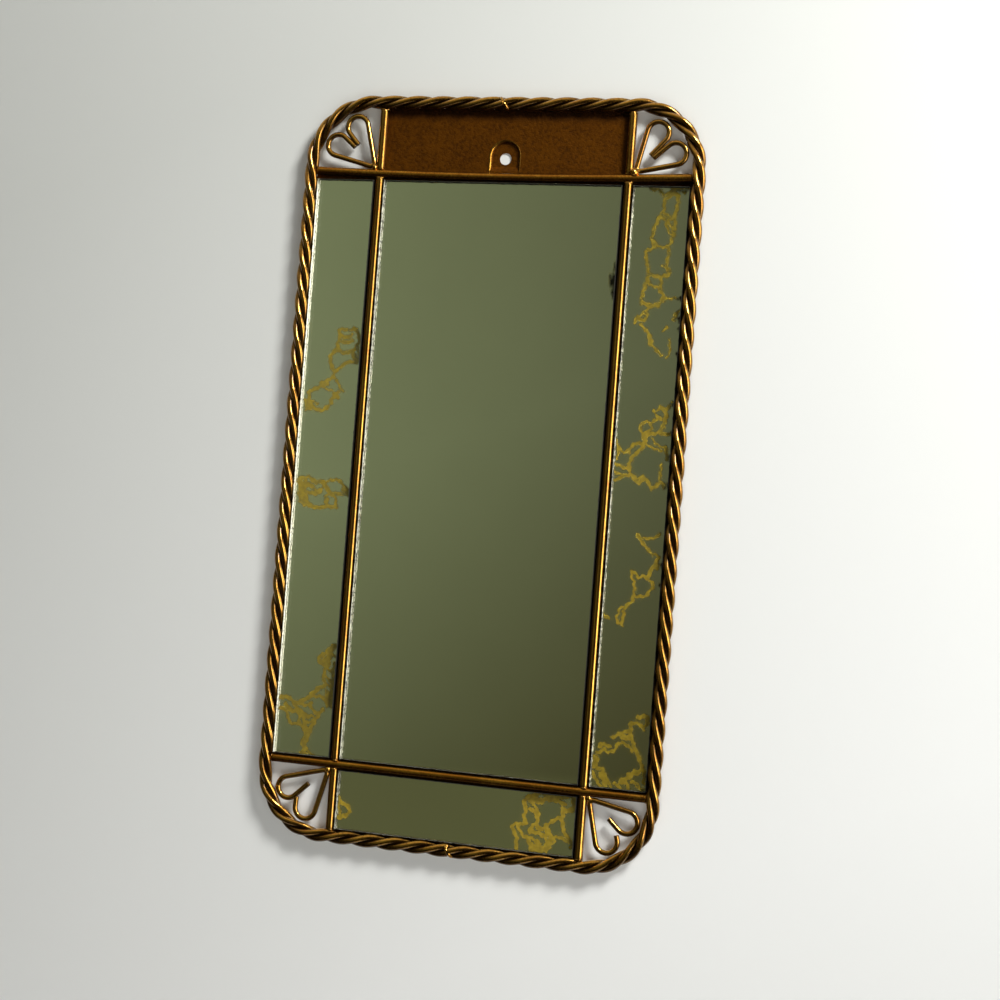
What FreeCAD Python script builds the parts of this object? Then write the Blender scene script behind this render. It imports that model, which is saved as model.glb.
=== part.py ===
"""A wall mirror: four panes on a cross-shaped sheet, held between welded round rods.

The rim is two bent halves of three twisted wires, butted at top and bottom, and a wire heart fills
each open corner. The origin is the middle of the nail hole, on the wall. X runs to the right, Z up
and Y into the wall, so the front of the mirror looks along minus Y. Lengths are in millimetres.
"""
import FreeCAD, Part
import math
import os
import Sketcher
from FreeCAD import Rotation, Vector

SIZES = (
    ("upright_spacing", 190.0, "axis to axis of the uprights"),
    ("crossbar_spacing", 442.0, "axis to axis of the crossbars, at their middles"),
    ("left_margin", 54.5, "left upright to the axis of the rim"),
    ("right_margin", 51.0, "right upright to the axis of the rim"),
    ("upper_margin", 54.4, "upper crossbar to the axis of the rim"),
    ("lower_margin", 53.4, "lower crossbar to the axis of the rim"),
    ("corner_radius", 48.0, "bend of the rim's axis at its corners"),
    ("rod_diameter", 6.35, "round rods of the grid"),
    ("upper_crossbar_sag", 2.4, "bow of the upper crossbar, lowest at its middle"),
    ("strand_diameter", 4.76, "one of the three wires twisted into the rim"),
    ("strand_gap", 0.15, "between the wires of the rim, square across the twist"),
    ("left_twist_pitch", 57.75, "length of a full turn of the left half's twist"),
    ("right_twist_pitch", 56.15, "length of a full turn of the right half's twist"),
    ("left_twist_angle", 97.0, "turn of the left half's wires at the top seam, in degrees"),
    ("right_twist_angle", 101.0, "turn of the right half's wires at the top seam, in degrees"),
    ("heart_wire_diameter", 4.0, "wire of the hearts"),
    ("heart_lobe_radius", 8.0, "bend of a heart's lobes, at the wire's axis"),
    ("heart_tip_radius", 2.6, "bend of a heart's point, at the wire's axis"),
    ("heart_tail_length", 16.0, "longest end that turns back from a lobe"),
    ("heart_tail_gap", 0.4, "between the two ends of a heart"),
    ("weld_gap", 0.1, "between pieces that a weld joins"),
    ("sheet_thickness", 0.8, "back sheet"),
    ("sheet_lap", 1.0, "back sheet past the axes of the rods"),
    ("mastic_thickness", 0.8, "dabs that hold the panes"),
    ("mastic_diameter", 24.0, "dabs that hold the panes"),
    ("glass_thickness", 5.0, "panes"),
    ("pane_gap", 1.0, "from a pane to the rods beside it"),
    ("rim_gap", 0.4, "from a pane to the rim beside it"),
    ("pane_arris", 0.4, "rubbed edges of the panes"),
    ("hook_height", 14.9, "nail hole above the upper crossbar"),
    ("nail_hole_diameter", 8.9, "hole that takes the nail"),
    ("hanger_width", 25.0, "pressed arch round the nail hole"),
    ("hanger_rise", 14.2, "crown of the arch above the nail hole"),
    ("hanger_drop", 10.3, "foot of the arch below the nail hole"),
    ("hanger_flat_drop", 6.0, "flat floor of the arch below the nail hole"),
    ("hanger_depth", 2.4, "arch pressed back from the sheet"),
    ("cut_overrun", 2.0, "cutters past the faces that they open"),
)

# Lengths of the hearts' two ends as shares of the longest: stub side first, then crossbar side.
TAIL_SHARES = {
    "upper_left_heart": (0.69, 0.71),
    "upper_right_heart": (0.98, 0.9),
    "lower_left_heart": (0.12, 0.92),
    "lower_right_heart": (0.43, 0.55),
}
# Dabs of mastic across and up each pane.
MASTIC_COUNTS = {"centre_pane": (2, 3), "left_pane": (1, 4), "right_pane": (1, 4), "bottom_pane": (3, 1)}
BIARCS_PER_TURN = 6
# Points on each turn of a wire that the rods' ends are measured against.
PROBES_PER_TURN = 90
SIDES = {"left": -1, "right": 1}
# The wires of each half of the rim, an equal turn apart.
STRANDS = "abc"

doc = FreeCAD.newDocument("framed_mirror")
sheet = doc.addObject("Spreadsheet::Sheet", "sizes")
for row, (alias, number, note) in enumerate(SIZES, start=1):
    sheet.set(f"A{row}", note)
    sheet.set(f"B{row}", str(number))
    sheet.setAlias(f"B{row}", alias)
doc.recompute()

# Places worked out from the sheet, as formulas that both bound objects and paths use.
ROD_RADIUS = "(sizes.rod_diameter / 2)"
STRAND_OFFSET = "((sizes.strand_diameter + sizes.strand_gap) / sqrt(3))"
ROPE_RADIUS = f"({STRAND_OFFSET} + sizes.strand_diameter / 2)"
SHEET_BACK = "(0 - sizes.hanger_depth)"
SHEET_FRONT = f"({SHEET_BACK} - sizes.sheet_thickness)"
ROD_DEPTH = f"({SHEET_FRONT} - sizes.weld_gap - {ROD_RADIUS})"
ROPE_DEPTH = f"({SHEET_BACK} - {ROPE_RADIUS})"
UPRIGHT = "(sizes.upright_spacing / 2)"
UPPER_BAR = "(0 - sizes.hook_height)"
LOWER_BAR = f"({UPPER_BAR} - sizes.crossbar_spacing)"
RIM_LEFT = f"(0 - {UPRIGHT} - sizes.left_margin)"
RIM_RIGHT = f"({UPRIGHT} + sizes.right_margin)"
RIM_TOP = f"({UPPER_BAR} + sizes.upper_margin)"
RIM_BOTTOM = f"({LOWER_BAR} - sizes.lower_margin)"
RIM_MIDDLE = f"(({RIM_LEFT} + {RIM_RIGHT}) / 2)"
RIM_HALF_WIDTH = f"(({RIM_RIGHT} - {RIM_LEFT}) / 2)"
BAR_HALF = f"({RIM_HALF_WIDTH} - {ROPE_RADIUS})"
BOW_RADIUS = f"(({BAR_HALF}^2 + sizes.upper_crossbar_sag^2) / (2 * sizes.upper_crossbar_sag))"
BUTT = f"({ROD_RADIUS} + sizes.weld_gap)"
SHEET_TUCK = f"(sqrt({ROPE_RADIUS}^2 - ({ROPE_RADIUS} - sizes.sheet_thickness)^2) + sizes.weld_gap)"


def value(formula):
    """The number that a formula of the sheet gives."""
    return float(sheet.evalExpression(formula))


def size(alias):
    """A driving dimension of the sheet."""
    return value(f"sizes.{alias}")


def bind(piece, **formulas):
    """Tie properties of a piece to the sheet; x, y and z are its place."""
    for name, formula in formulas.items():
        prop = f"Placement.Base.{name}" if name in ("x", "y", "z") else name
        piece.setExpression(prop, formula)


def bowed_bar_height(across):
    """Height of the upper crossbar's axis at a place across, on the arc of its bow."""
    return f"({UPPER_BAR} + {BOW_RADIUS} - sqrt({BOW_RADIUS}^2 - ({across} - {RIM_MIDDLE})^2))"


def box(name, low, high):
    """A box between two corners given as formulas."""
    piece = doc.addObject("Part::Box", name)
    bind(piece, x=low[0], y=low[1], z=low[2])
    bind(
        piece,
        Length=f"({high[0]}) - ({low[0]})",
        Width=f"({high[1]}) - ({low[1]})",
        Height=f"({high[2]}) - ({low[2]})",
    )
    return piece


def combine(kind, name, base, tool):
    """A boolean of two pieces."""
    piece = doc.addObject(f"Part::{kind}", name)
    piece.Base = base
    piece.Tool = tool
    return piece


def gather(name, pieces):
    """A compound of separate pieces."""
    piece = doc.addObject("Part::Compound", name)
    piece.Links = pieces
    return piece


def drilled(name, radius, front, back, across="0", height="0"):
    """A cylinder along Y between two depths."""
    piece = doc.addObject("Part::Cylinder", name)
    piece.Placement.Rotation = Rotation(Vector(1, 0, 0), -90)
    bind(piece, Radius=radius, Height=f"({back}) - ({front})", x=across, y=front, z=height)
    return piece


def swept_wire(name, edges, diameter):
    """A round wire along tangent edges, cut square at both ends."""
    first = edges[0]
    start = first.valueAt(first.FirstParameter)
    heading = first.tangentAt(first.FirstParameter)
    profile = Part.Wire([Part.makeCircle(diameter / 2, start, heading)])
    solid = Part.Wire(edges).makePipeShell([profile], True, False)
    length = sum(edge.Length for edge in edges)
    drift = solid.Volume / (math.pi * diameter ** 2 / 4 * length) - 1
    print(f"{name}: {length:.1f} mm of wire, volume within {abs(drift) * 100:.3f} %")
    return solid


# The rim: three wires twisted round a rounded rectangle, in a left and a right half.

def biarc(start, start_heading, end, end_heading):
    """Two tangent arcs that leave one point and reach another along given headings."""
    step = end - start
    both = start_heading + end_heading
    bend = 2 * (1 - start_heading.dot(end_heading))
    along = step.dot(both)
    reach = (math.sqrt(along ** 2 + bend * step.dot(step)) - along) / bend
    first_corner = start + start_heading * reach
    last_corner = end - end_heading * reach
    joint = (first_corner + last_corner) * 0.5
    return [
        arc_by_corner(start, first_corner, joint),
        arc_by_corner(joint, last_corner, end),
    ]


def arc_by_corner(start, corner, end):
    """The arc that touches both legs of a corner with equal legs."""
    middle = (start + end) * 0.5
    half_chord = (end - start).Length / 2
    half_turn = math.acos(min(1, half_chord / (corner - start).Length))
    crown = middle + (corner - middle).normalize() * (half_chord * math.tan(half_turn / 2))
    return Part.Arc(start, crown, end).toShape()


def rim_half_path(side):
    """Half of the rim's axis from the top seam to the bottom seam, as a function of its length.

    The function gives the point, the heading and the way in, towards the middle of the mirror.
    """
    radius = size("corner_radius")
    run = value(RIM_HALF_WIDTH) - radius
    quarter = radius * math.pi / 2
    height = value(RIM_TOP) - value(RIM_BOTTOM) - 2 * radius
    seam = Vector(value(RIM_MIDDLE), value(ROPE_DEPTH), value(RIM_TOP))
    total = 2 * run + 2 * quarter + height

    def upper(length):
        """Point and heading on the upper part, as runs outward and down."""
        if length < run:
            return length, 0.0, 0.0
        if length < run + quarter:
            turn = (length - run) / radius
            return run + radius * math.sin(turn), radius * (1 - math.cos(turn)), turn
        return run + radius, radius + length - run - quarter, math.pi / 2

    def at(length):
        mirrored = length > total / 2
        out, down, turn = upper(total - length if mirrored else length)
        if mirrored:
            down = 2 * radius + height - down
            turn = math.pi - turn
        point = seam + Vector(side * out, 0, -down)
        heading = Vector(side * math.cos(turn), 0, -math.sin(turn))
        inward = Vector(-side * math.sin(turn), 0, -math.cos(turn))
        return point, heading, inward

    return at, total


def strand_curve(side, index):
    """The axis of one wire of a half rim: a helix round the rim's axis, as a function of length."""
    at, total = rim_half_path(SIDES[side])
    pitch = size(f"{side}_twist_pitch")
    offset = value(STRAND_OFFSET)
    start = math.radians(size(f"{side}_twist_angle")) + 2 * math.pi * index / len(STRANDS)
    front = Vector(0, -1, 0)

    def place(length):
        angle = start + SIDES[side] * 2 * math.pi * length / pitch
        inside = min(max(length, 0), total)
        point, heading, inward = at(inside)
        point = point + heading * (length - inside)
        return point + (inward * math.cos(angle) + front * math.sin(angle)) * offset

    return place, total


def rim_strand(name, side, index):
    """One wire of a half rim in biarcs of a sixth of a turn, cut off at the seams."""
    place, total = strand_curve(side, index)
    overrun = size("strand_diameter")
    count = math.ceil((total + 2 * overrun) / size(f"{side}_twist_pitch") * BIARCS_PER_TURN)
    span = (total + 2 * overrun) / count

    def heading(length):
        nudge = span / 1000
        return (place(length + nudge) - place(length - nudge)).normalize()

    stations = [span * step - overrun for step in range(count + 1)]
    edges = []
    for begin, finish in zip(stations, stations[1:]):
        edges += biarc(place(begin), heading(begin), place(finish), heading(finish))
    points = [place(length) for length in stations]
    least = min(
        (points[b] - points[a]).Length
        for a in range(len(points))
        for b in range(a + BIARCS_PER_TURN, len(points))
    )
    print(f"{name}: least gap to itself {least - size('strand_diameter'):.1f} mm")
    solid = swept_wire(name, edges, size("strand_diameter"))
    reach = value(RIM_HALF_WIDTH) + 2 * value(ROPE_RADIUS)
    tall = value(RIM_TOP) - value(RIM_BOTTOM) + 4 * value(ROPE_RADIUS)
    deep = 4 * value(ROPE_RADIUS)
    corner = Vector(
        value(RIM_MIDDLE) - (reach if SIDES[side] < 0 else 0),
        value(ROPE_DEPTH) - deep / 2,
        value(RIM_BOTTOM) - 2 * value(ROPE_RADIUS),
    )
    piece = doc.addObject("Part::Feature", name)
    piece.Shape = solid.common(Part.makeBox(reach, deep, tall, corner)).Solids[0]
    return piece


def probes(side):
    """Close points along the wires of a half rim."""
    points = []
    for index in range(len(STRANDS)):
        place, total = strand_curve(side, index)
        count = math.ceil(total / size(f"{side}_twist_pitch") * PROBES_PER_TURN)
        points += [place(total * step / count) for step in range(count + 1)]
    return points


# The grid: two crossbars from rim to rim, and uprights in three lengths butted against them.

def meeting(points, along, off):
    """How far out a square-cut rod runs before its end meets a wire of the rim."""
    wire = size("strand_diameter") / 2 + size("weld_gap")
    ends = []
    for point in points:
        aside = max(0, off(point) - value(ROD_RADIUS))
        if along(point) > 0 and aside < wire:
            ends.append(along(point) - math.sqrt(wire ** 2 - aside ** 2))
    return min(ends)


def lower_crossbar(points):
    """A straight rod from rim to rim."""
    middle = Vector(value(RIM_MIDDLE), value(ROD_DEPTH), value(LOWER_BAR))

    def off(point):
        return math.hypot(point.y - middle.y, point.z - middle.z)

    left = meeting(points["left"], lambda point: middle.x - point.x, off)
    right = meeting(points["right"], lambda point: point.x - middle.x, off)
    rod = doc.addObject("Part::Cylinder", "lower_crossbar")
    rod.Height = left + right
    rod.Placement.Rotation = Rotation(Vector(0, 1, 0), 90)
    bind(rod, Radius=ROD_RADIUS, x=f"{RIM_MIDDLE} - {left}", y=ROD_DEPTH, z=LOWER_BAR)
    return rod


def upper_crossbar(points):
    """A rod bowed on an arc from rim to rim."""
    radius = value(BOW_RADIUS)
    middle = Vector(value(RIM_MIDDLE), value(ROD_DEPTH), value(UPPER_BAR) + radius)

    def swing(point):
        return radius * math.atan2(point.x - middle.x, middle.z - point.z)

    def off(point):
        ring = math.hypot(point.x - middle.x, point.z - middle.z) - radius
        return math.hypot(ring, point.y - middle.y)

    left = meeting(points["left"], lambda point: 0 - swing(point), off) / radius
    right = meeting(points["right"], swing, off) / radius
    rod = doc.addObject("Part::Torus", "upper_crossbar")
    rod.Angle3 = math.degrees(left + right)
    standing = Rotation(Vector(1, 0, 0), 90)
    rod.Placement.Rotation = standing.multiply(Rotation(Vector(0, 0, 1), -90 - math.degrees(left)))
    bind(rod, Radius1=BOW_RADIUS, Radius2=ROD_RADIUS)
    bind(rod, x=RIM_MIDDLE, y=ROD_DEPTH, z=f"{UPPER_BAR} + {BOW_RADIUS}")
    return rod


def upright(name, across, bottom, top):
    """A square-cut rod between two heights."""
    rod = doc.addObject("Part::Cylinder", name)
    bind(rod, Radius=ROD_RADIUS, Height=f"({top}) - ({bottom})", x=across, y=ROD_DEPTH, z=bottom)
    return rod


def side_rods(side, points):
    """The upright of a side between the crossbars, and its stubs out to the rim."""
    across = f"({SIDES[side]} * {UPRIGHT})"
    seat = bowed_bar_height(across)
    foot = Vector(value(across), value(ROD_DEPTH), 0)

    def off(point):
        return math.hypot(point.x - foot.x, point.y - foot.y)

    top = value(seat)
    bottom = value(LOWER_BAR)
    up = meeting(points, lambda point: point.z - top, off)
    down = meeting(points, lambda point: bottom - point.z, off)
    return [
        upright(f"{side}_upright", across, f"{LOWER_BAR} + {BUTT}", f"{seat} - {BUTT}"),
        upright(f"upper_{side}_stub", across, f"{seat} + {BUTT}", f"{seat} + {up}"),
        upright(f"lower_{side}_stub", across, f"{LOWER_BAR} - {down}", f"{LOWER_BAR} - {BUTT}"),
    ]


# The hearts: one bent wire each, its point in a crossing and its lobes against the rim.

def heart(name, side, rise):
    """A heart in a corner; local runs are outward from the crossing, along X and Z."""
    wire_radius = size("heart_wire_diameter") / 2
    lobe_radius = size("heart_lobe_radius")
    tip_radius = size("heart_tip_radius")
    corner_radius = size("corner_radius")
    upper = rise > 0
    across = side * value(UPRIGHT)
    clear = tip_radius + wire_radius + value(ROD_RADIUS) + size("weld_gap")
    tip = Vector(clear, clear, 0)
    bar = value(bowed_bar_height(str(across + side * clear)) if upper else LOWER_BAR)
    rim_side = value(RIM_RIGHT if side > 0 else RIM_LEFT)
    rim_end = value(RIM_TOP if upper else RIM_BOTTOM)
    bend = Vector(abs(rim_side - across) - corner_radius, abs(rim_end - bar) - corner_radius, 0)
    seat = corner_radius - value(ROPE_RADIUS) - size("weld_gap") - wire_radius - lobe_radius
    tail_apart = wire_radius + size("heart_tail_gap") / 2

    def polar(angle):
        return Vector(math.cos(angle), math.sin(angle), 0)

    def world(local):
        return Vector(across + side * local.x, value(ROD_DEPTH), bar + rise * local.y)

    def line(start, end):
        return Part.LineSegment(world(start), world(end)).toShape()

    def arc(centre, radius, start, end):
        points = [centre + polar(angle) * radius for angle in (start, (start + end) / 2, end)]
        return Part.Arc(*[world(point) for point in points]).toShape()

    diagonal = math.pi / 4
    along = polar(diagonal)
    aside = polar(diagonal + math.pi / 2)

    def half(turn, share):
        """Lobe centre and angles of one half: where its side leaves the point, and its tail.

        The lobe touches the bend of the rim, and the tail lies beside the corner's diagonal.
        """
        off = turn * (lobe_radius + tail_apart)
        out = bend.dot(along) + math.sqrt(seat ** 2 - (off - bend.dot(aside)) ** 2)
        lobe = along * out + aside * off
        run = lobe - tip
        side_angle = math.atan2(run.y, run.x)
        side_angle += turn * math.acos((tip_radius - lobe_radius) / run.Length)
        tail_angle = diagonal - turn * math.pi / 2
        tail = lobe + polar(tail_angle) * lobe_radius
        tail_end = tail - along * (size("heart_tail_length") * share)
        return lobe, side_angle, tail_angle, tail, tail_end

    stub_share, bar_share = TAIL_SHARES[name]
    lobe_a, side_a, tail_angle_a, tail_a, end_a = half(1, stub_share)
    lobe_b, side_b, tail_angle_b, tail_b, end_b = half(-1, bar_share)
    edges = [
        line(end_b, tail_b),
        arc(lobe_b, lobe_radius, tail_angle_b, side_b),
        line(lobe_b + polar(side_b) * lobe_radius, tip + polar(side_b) * tip_radius),
        arc(tip, tip_radius, side_b, side_a - 2 * math.pi),
        line(tip + polar(side_a) * tip_radius, lobe_a + polar(side_a) * lobe_radius),
        arc(lobe_a, lobe_radius, side_a, tail_angle_a),
        line(tail_a, end_a),
    ]
    piece = doc.addObject("Part::Feature", name)
    piece.Shape = swept_wire(name, edges, size("heart_wire_diameter"))
    return piece


# The back sheet: a cross under the rods and panes, with the nail hole in a pressed arch.

def arch(name, inset, front, back, foot_back):
    """An arch-shaped block whose floor ramps up to the sheet at its foot."""
    half = f"(sizes.hanger_width / 2 - {inset})"
    crown = f"(sizes.hanger_rise - {inset})"
    foot = f"(0 - sizes.hanger_drop + {inset})"
    legs = box(f"{name}_legs", (f"0 - {half}", front, foot), (half, back, f"{crown} - {half}"))
    head = drilled(f"{name}_head", half, front, back, height=f"{crown} - {half}")
    block = combine("Fuse", f"{name}_block", legs, head)
    ramp = doc.addObject("Part::Wedge", f"{name}_ramp")
    bind(
        ramp,
        Xmin=f"0 - {half}",
        Xmax=half,
        X2min=f"0 - {half}",
        X2max=half,
        Ymin=front,
        Ymax=back,
        Zmin=foot,
        Z2min=foot_back,
        Zmax=crown,
        Z2max=crown,
    )
    return combine("Common", name, block, ramp)


def back_sheet():
    """The cross, the pressed arch and the nail hole."""
    half = f"({UPRIGHT} + sizes.sheet_lap)"
    tall = box(
        "tall_arm",
        (f"0 - {half}", SHEET_FRONT, f"{RIM_BOTTOM} + {SHEET_TUCK}"),
        (half, SHEET_BACK, f"{RIM_TOP} - {SHEET_TUCK}"),
    )
    wide = box(
        "wide_arm",
        (f"{RIM_LEFT} + {SHEET_TUCK}", SHEET_FRONT, f"{LOWER_BAR} - sizes.sheet_lap"),
        (f"{RIM_RIGHT} - {SHEET_TUCK}", SHEET_BACK, f"{UPPER_BAR} + sizes.sheet_lap"),
    )
    cross = combine("Fuse", "cross", tall, wide)
    cross.Refine = True
    flat = "(0 - sizes.hanger_flat_drop)"
    pressed = arch("pressed_arch", "0", SHEET_BACK, "0", flat)
    hollow = arch("arch_hollow", "sizes.sheet_thickness", SHEET_FRONT, "(0 - sizes.sheet_thickness)", flat)
    hole = drilled(
        "nail_hole",
        "sizes.nail_hole_diameter / 2",
        f"({SHEET_FRONT} - sizes.cut_overrun)",
        "sizes.cut_overrun",
    )
    formed = combine("Fuse", "formed_sheet", cross, pressed)
    opened = combine("Cut", "opened_sheet", formed, hollow)
    return combine("Cut", "back_sheet", opened, hole)


# The panes and the mastic behind them.

PANE_BACK = f"({SHEET_FRONT} - sizes.mastic_thickness)"
BESIDE_ROD = f"({ROD_RADIUS} + sizes.pane_gap)"
BESIDE_RIM = f"({ROPE_RADIUS} + sizes.rim_gap)"
PANES = {
    "centre_pane": (
        f"(0 - {UPRIGHT} + {BESIDE_ROD})",
        f"({UPRIGHT} - {BESIDE_ROD})",
        f"({LOWER_BAR} + {BESIDE_ROD})",
        f"({UPPER_BAR} - {BESIDE_ROD})",
    ),
    "left_pane": (
        f"({RIM_LEFT} + {BESIDE_RIM})",
        f"(0 - {UPRIGHT} - {BESIDE_ROD})",
        f"({LOWER_BAR} + {BESIDE_ROD})",
        f"({UPPER_BAR} - {BESIDE_ROD})",
    ),
    "right_pane": (
        f"({UPRIGHT} + {BESIDE_ROD})",
        f"({RIM_RIGHT} - {BESIDE_RIM})",
        f"({LOWER_BAR} + {BESIDE_ROD})",
        f"({UPPER_BAR} - {BESIDE_ROD})",
    ),
    "bottom_pane": (
        f"(0 - {UPRIGHT} + {BESIDE_ROD})",
        f"({UPRIGHT} - {BESIDE_ROD})",
        f"({RIM_BOTTOM} + {BESIDE_RIM})",
        f"({LOWER_BAR} - {BESIDE_ROD})",
    ),
}


def pane(name):
    """A rectangle of mirror glass with its sharp edges rubbed off."""
    left, right, bottom, top = PANES[name]
    body = doc.addObject("PartDesign::Body", name)
    outline = body.newObject("Sketcher::SketchObject", f"{name}_outline")
    front_plane = [plane for plane in body.Origin.OriginFeatures if plane.Role == "XZ_Plane"][0]
    outline.AttachmentSupport = (front_plane, [""])
    outline.MapMode = "FlatFace"
    width = value(f"{right} - {left}")
    height = value(f"{top} - {bottom}")
    corners = [Vector(0, 0, 0), Vector(width, 0, 0), Vector(width, height, 0), Vector(0, height, 0)]
    for index, corner in enumerate(corners):
        outline.addGeometry(Part.LineSegment(corner, corners[(index + 1) % 4]))
    for index in range(4):
        outline.addConstraint(Sketcher.Constraint("Coincident", index, 2, (index + 1) % 4, 1))
    outline.addConstraint(Sketcher.Constraint("Coincident", 0, 1, -1, 1))
    for index in (0, 2):
        outline.addConstraint(Sketcher.Constraint("Horizontal", index))
        outline.addConstraint(Sketcher.Constraint("Vertical", index + 1))
    across = outline.addConstraint(Sketcher.Constraint("DistanceX", 0, 1, 0, 2, width))
    outline.setExpression(f"Constraints[{across}]", f"{right} - {left}")
    up = outline.addConstraint(Sketcher.Constraint("DistanceY", 1, 1, 1, 2, height))
    outline.setExpression(f"Constraints[{up}]", f"{top} - {bottom}")
    glass = body.newObject("PartDesign::Pad", f"{name}_glass")
    glass.Profile = outline
    bind(glass, Length="sizes.glass_thickness")
    doc.recompute()
    arris = body.newObject("PartDesign::Chamfer", f"{name}_arris")
    arris.Base = (glass, [f"Edge{index + 1}" for index in range(len(glass.Shape.Edges))])
    bind(arris, Size="sizes.pane_arris")
    body.Tip = arris
    bind(body, x=left, y=PANE_BACK, z=bottom)
    return body


def mastic(name):
    """Dabs in an even grid behind a pane, from the sheet to the glass."""
    left, right, bottom, top = PANES[name]
    columns, rows = MASTIC_COUNTS[name]
    dabs = []
    for column in range(columns):
        for row in range(rows):
            across_share = (2 * column + 1) / (2 * columns)
            up_share = (2 * row + 1) / (2 * rows)
            dabs.append(
                drilled(
                    f"{name}_dab_{column}_{row}",
                    "sizes.mastic_diameter / 2",
                    PANE_BACK,
                    SHEET_FRONT,
                    f"{left} + ({right} - {left}) * {across_share}",
                    f"{bottom} + ({top} - {bottom}) * {up_share}",
                )
            )
    return gather(name.replace("pane", "mastic"), dabs)


def check(pieces):
    """Stop on a failed object or on a piece that isn't the solids it should be."""
    for item in doc.Objects:
        if {"Invalid", "Error"} & set(item.State):
            raise RuntimeError(f"{item.Label}: {item.State}")
    for piece, solids in pieces:
        shape = piece.Shape
        if shape.isNull() or not shape.isValid():
            raise RuntimeError(f"{piece.Label}: no valid shape")
        if len(shape.Solids) != solids:
            raise RuntimeError(f"{piece.Label}: {len(shape.Solids)} solids, not {solids}")


def main():
    pieces = []
    points = {}
    for side in SIDES:
        for index, letter in enumerate(STRANDS):
            pieces.append((rim_strand(f"{side}_rim_strand_{letter}", side, index), 1))
        points[side] = probes(side)
    pieces += [(lower_crossbar(points), 1), (upper_crossbar(points), 1)]
    for side in SIDES:
        pieces += [(rod, 1) for rod in side_rods(side, points[side])]
        pieces.append((heart(f"upper_{side}_heart", SIDES[side], 1), 1))
        pieces.append((heart(f"lower_{side}_heart", SIDES[side], -1), 1))
    pieces.append((back_sheet(), 1))
    for name in PANES:
        columns, rows = MASTIC_COUNTS[name]
        pieces.append((pane(name), 1))
        pieces.append((mastic(name), columns * rows))
    doc.recompute()
    check(pieces)
    os.makedirs("parts", exist_ok=True)
    for piece, _ in pieces:
        piece.Shape.exportStep(f"parts/{piece.Label}.step")
    print(f"{len(pieces)} pieces")


main()
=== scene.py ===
"""Finish of a framed wall mirror: twisted rim, wire grid, hearts, back sheet and veined panes."""

import math

import bpy
import numpy as np
from bpy.props import FloatProperty, FloatVectorProperty, PointerProperty
from bpy.types import Operator, Panel, PropertyGroup
from mathutils import Matrix, Vector


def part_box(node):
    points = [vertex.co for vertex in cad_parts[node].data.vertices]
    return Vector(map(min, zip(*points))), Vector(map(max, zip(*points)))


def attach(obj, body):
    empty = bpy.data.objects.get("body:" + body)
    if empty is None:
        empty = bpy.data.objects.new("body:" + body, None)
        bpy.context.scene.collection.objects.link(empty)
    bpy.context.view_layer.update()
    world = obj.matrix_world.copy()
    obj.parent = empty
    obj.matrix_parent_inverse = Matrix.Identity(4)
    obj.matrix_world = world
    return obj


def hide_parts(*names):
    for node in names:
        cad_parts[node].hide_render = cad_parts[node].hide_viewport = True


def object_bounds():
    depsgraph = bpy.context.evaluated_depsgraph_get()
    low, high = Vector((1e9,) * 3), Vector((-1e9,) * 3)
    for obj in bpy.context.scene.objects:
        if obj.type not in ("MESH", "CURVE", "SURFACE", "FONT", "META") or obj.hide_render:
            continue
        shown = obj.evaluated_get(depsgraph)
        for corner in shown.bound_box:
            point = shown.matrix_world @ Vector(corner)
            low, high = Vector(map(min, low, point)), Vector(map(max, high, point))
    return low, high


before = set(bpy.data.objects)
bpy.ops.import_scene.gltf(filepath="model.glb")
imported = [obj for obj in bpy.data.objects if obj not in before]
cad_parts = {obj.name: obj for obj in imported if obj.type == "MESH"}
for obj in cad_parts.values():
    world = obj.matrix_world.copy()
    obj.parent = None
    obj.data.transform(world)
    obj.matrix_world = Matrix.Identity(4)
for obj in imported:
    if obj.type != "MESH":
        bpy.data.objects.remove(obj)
CAD_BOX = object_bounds()

bl_info = {
    "name": "Framed mirror",
    "version": (1, 0, 0),
    "blender": (4, 5, 0),
    "location": "View3D > Sidebar > Mirror",
    "description": "Builds the gilt wire frame and the veined panes of a wall mirror",
    "category": "Add Mesh",
}

MM = 0.001
FRONT = np.array((0.0, -1.0, 0.0))
SIDES = {"left": -1, "right": 1}
LEVELS = {"upper": 1, "lower": -1}
STRANDS = "abc"
PANES = ("centre_pane", "left_pane", "right_pane", "bottom_pane")
MASTIC = ("centre_mastic", "left_mastic", "right_mastic", "bottom_mastic")
UPRIGHTS = tuple(name for side in SIDES for name in (
    f"{side}_upright", f"upper_{side}_stub", f"lower_{side}_stub"))

# Steps along the wires, points round them, and the grid of a veined pane and of a plain one.
RIM_STATIONS = 760
RIM_SIDES = 22
ROD_STEP = 1.6 * MM
ROD_SIDES = 20
HEART_STEP = 0.7 * MM
HEART_SIDES = 16
VEIN_STEP = 0.55 * MM
PLAIN_STEP = 3 * MM
EDGE_MARGIN = 8 * MM

# Length over which the rim's rings lean into a seam's plane, and how far a rod's radius wanders.
SEAM_LEAN = 6 * MM
ROD_UNEVENNESS = 0.012

# Seam ends: stations, points round the wire, turn to either side of the front, drift to the left.
SEAM_STATIONS = 40
SEAM_SIDES = 14
SEAM_TURN = 1.75
SEAM_DRIFT = 3.2 * MM

# Arch lip: stations up a side, over the crown and across, lap on the sheet, height above it, depth in it.
LIP_RISE = 29
LIP_CROWN = 61
LIP_STEPS = 12
LIP_LAP = 0.4 * MM
LIP_PROUD = 0.02 * MM
LIP_SUNK = 0.1 * MM

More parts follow.
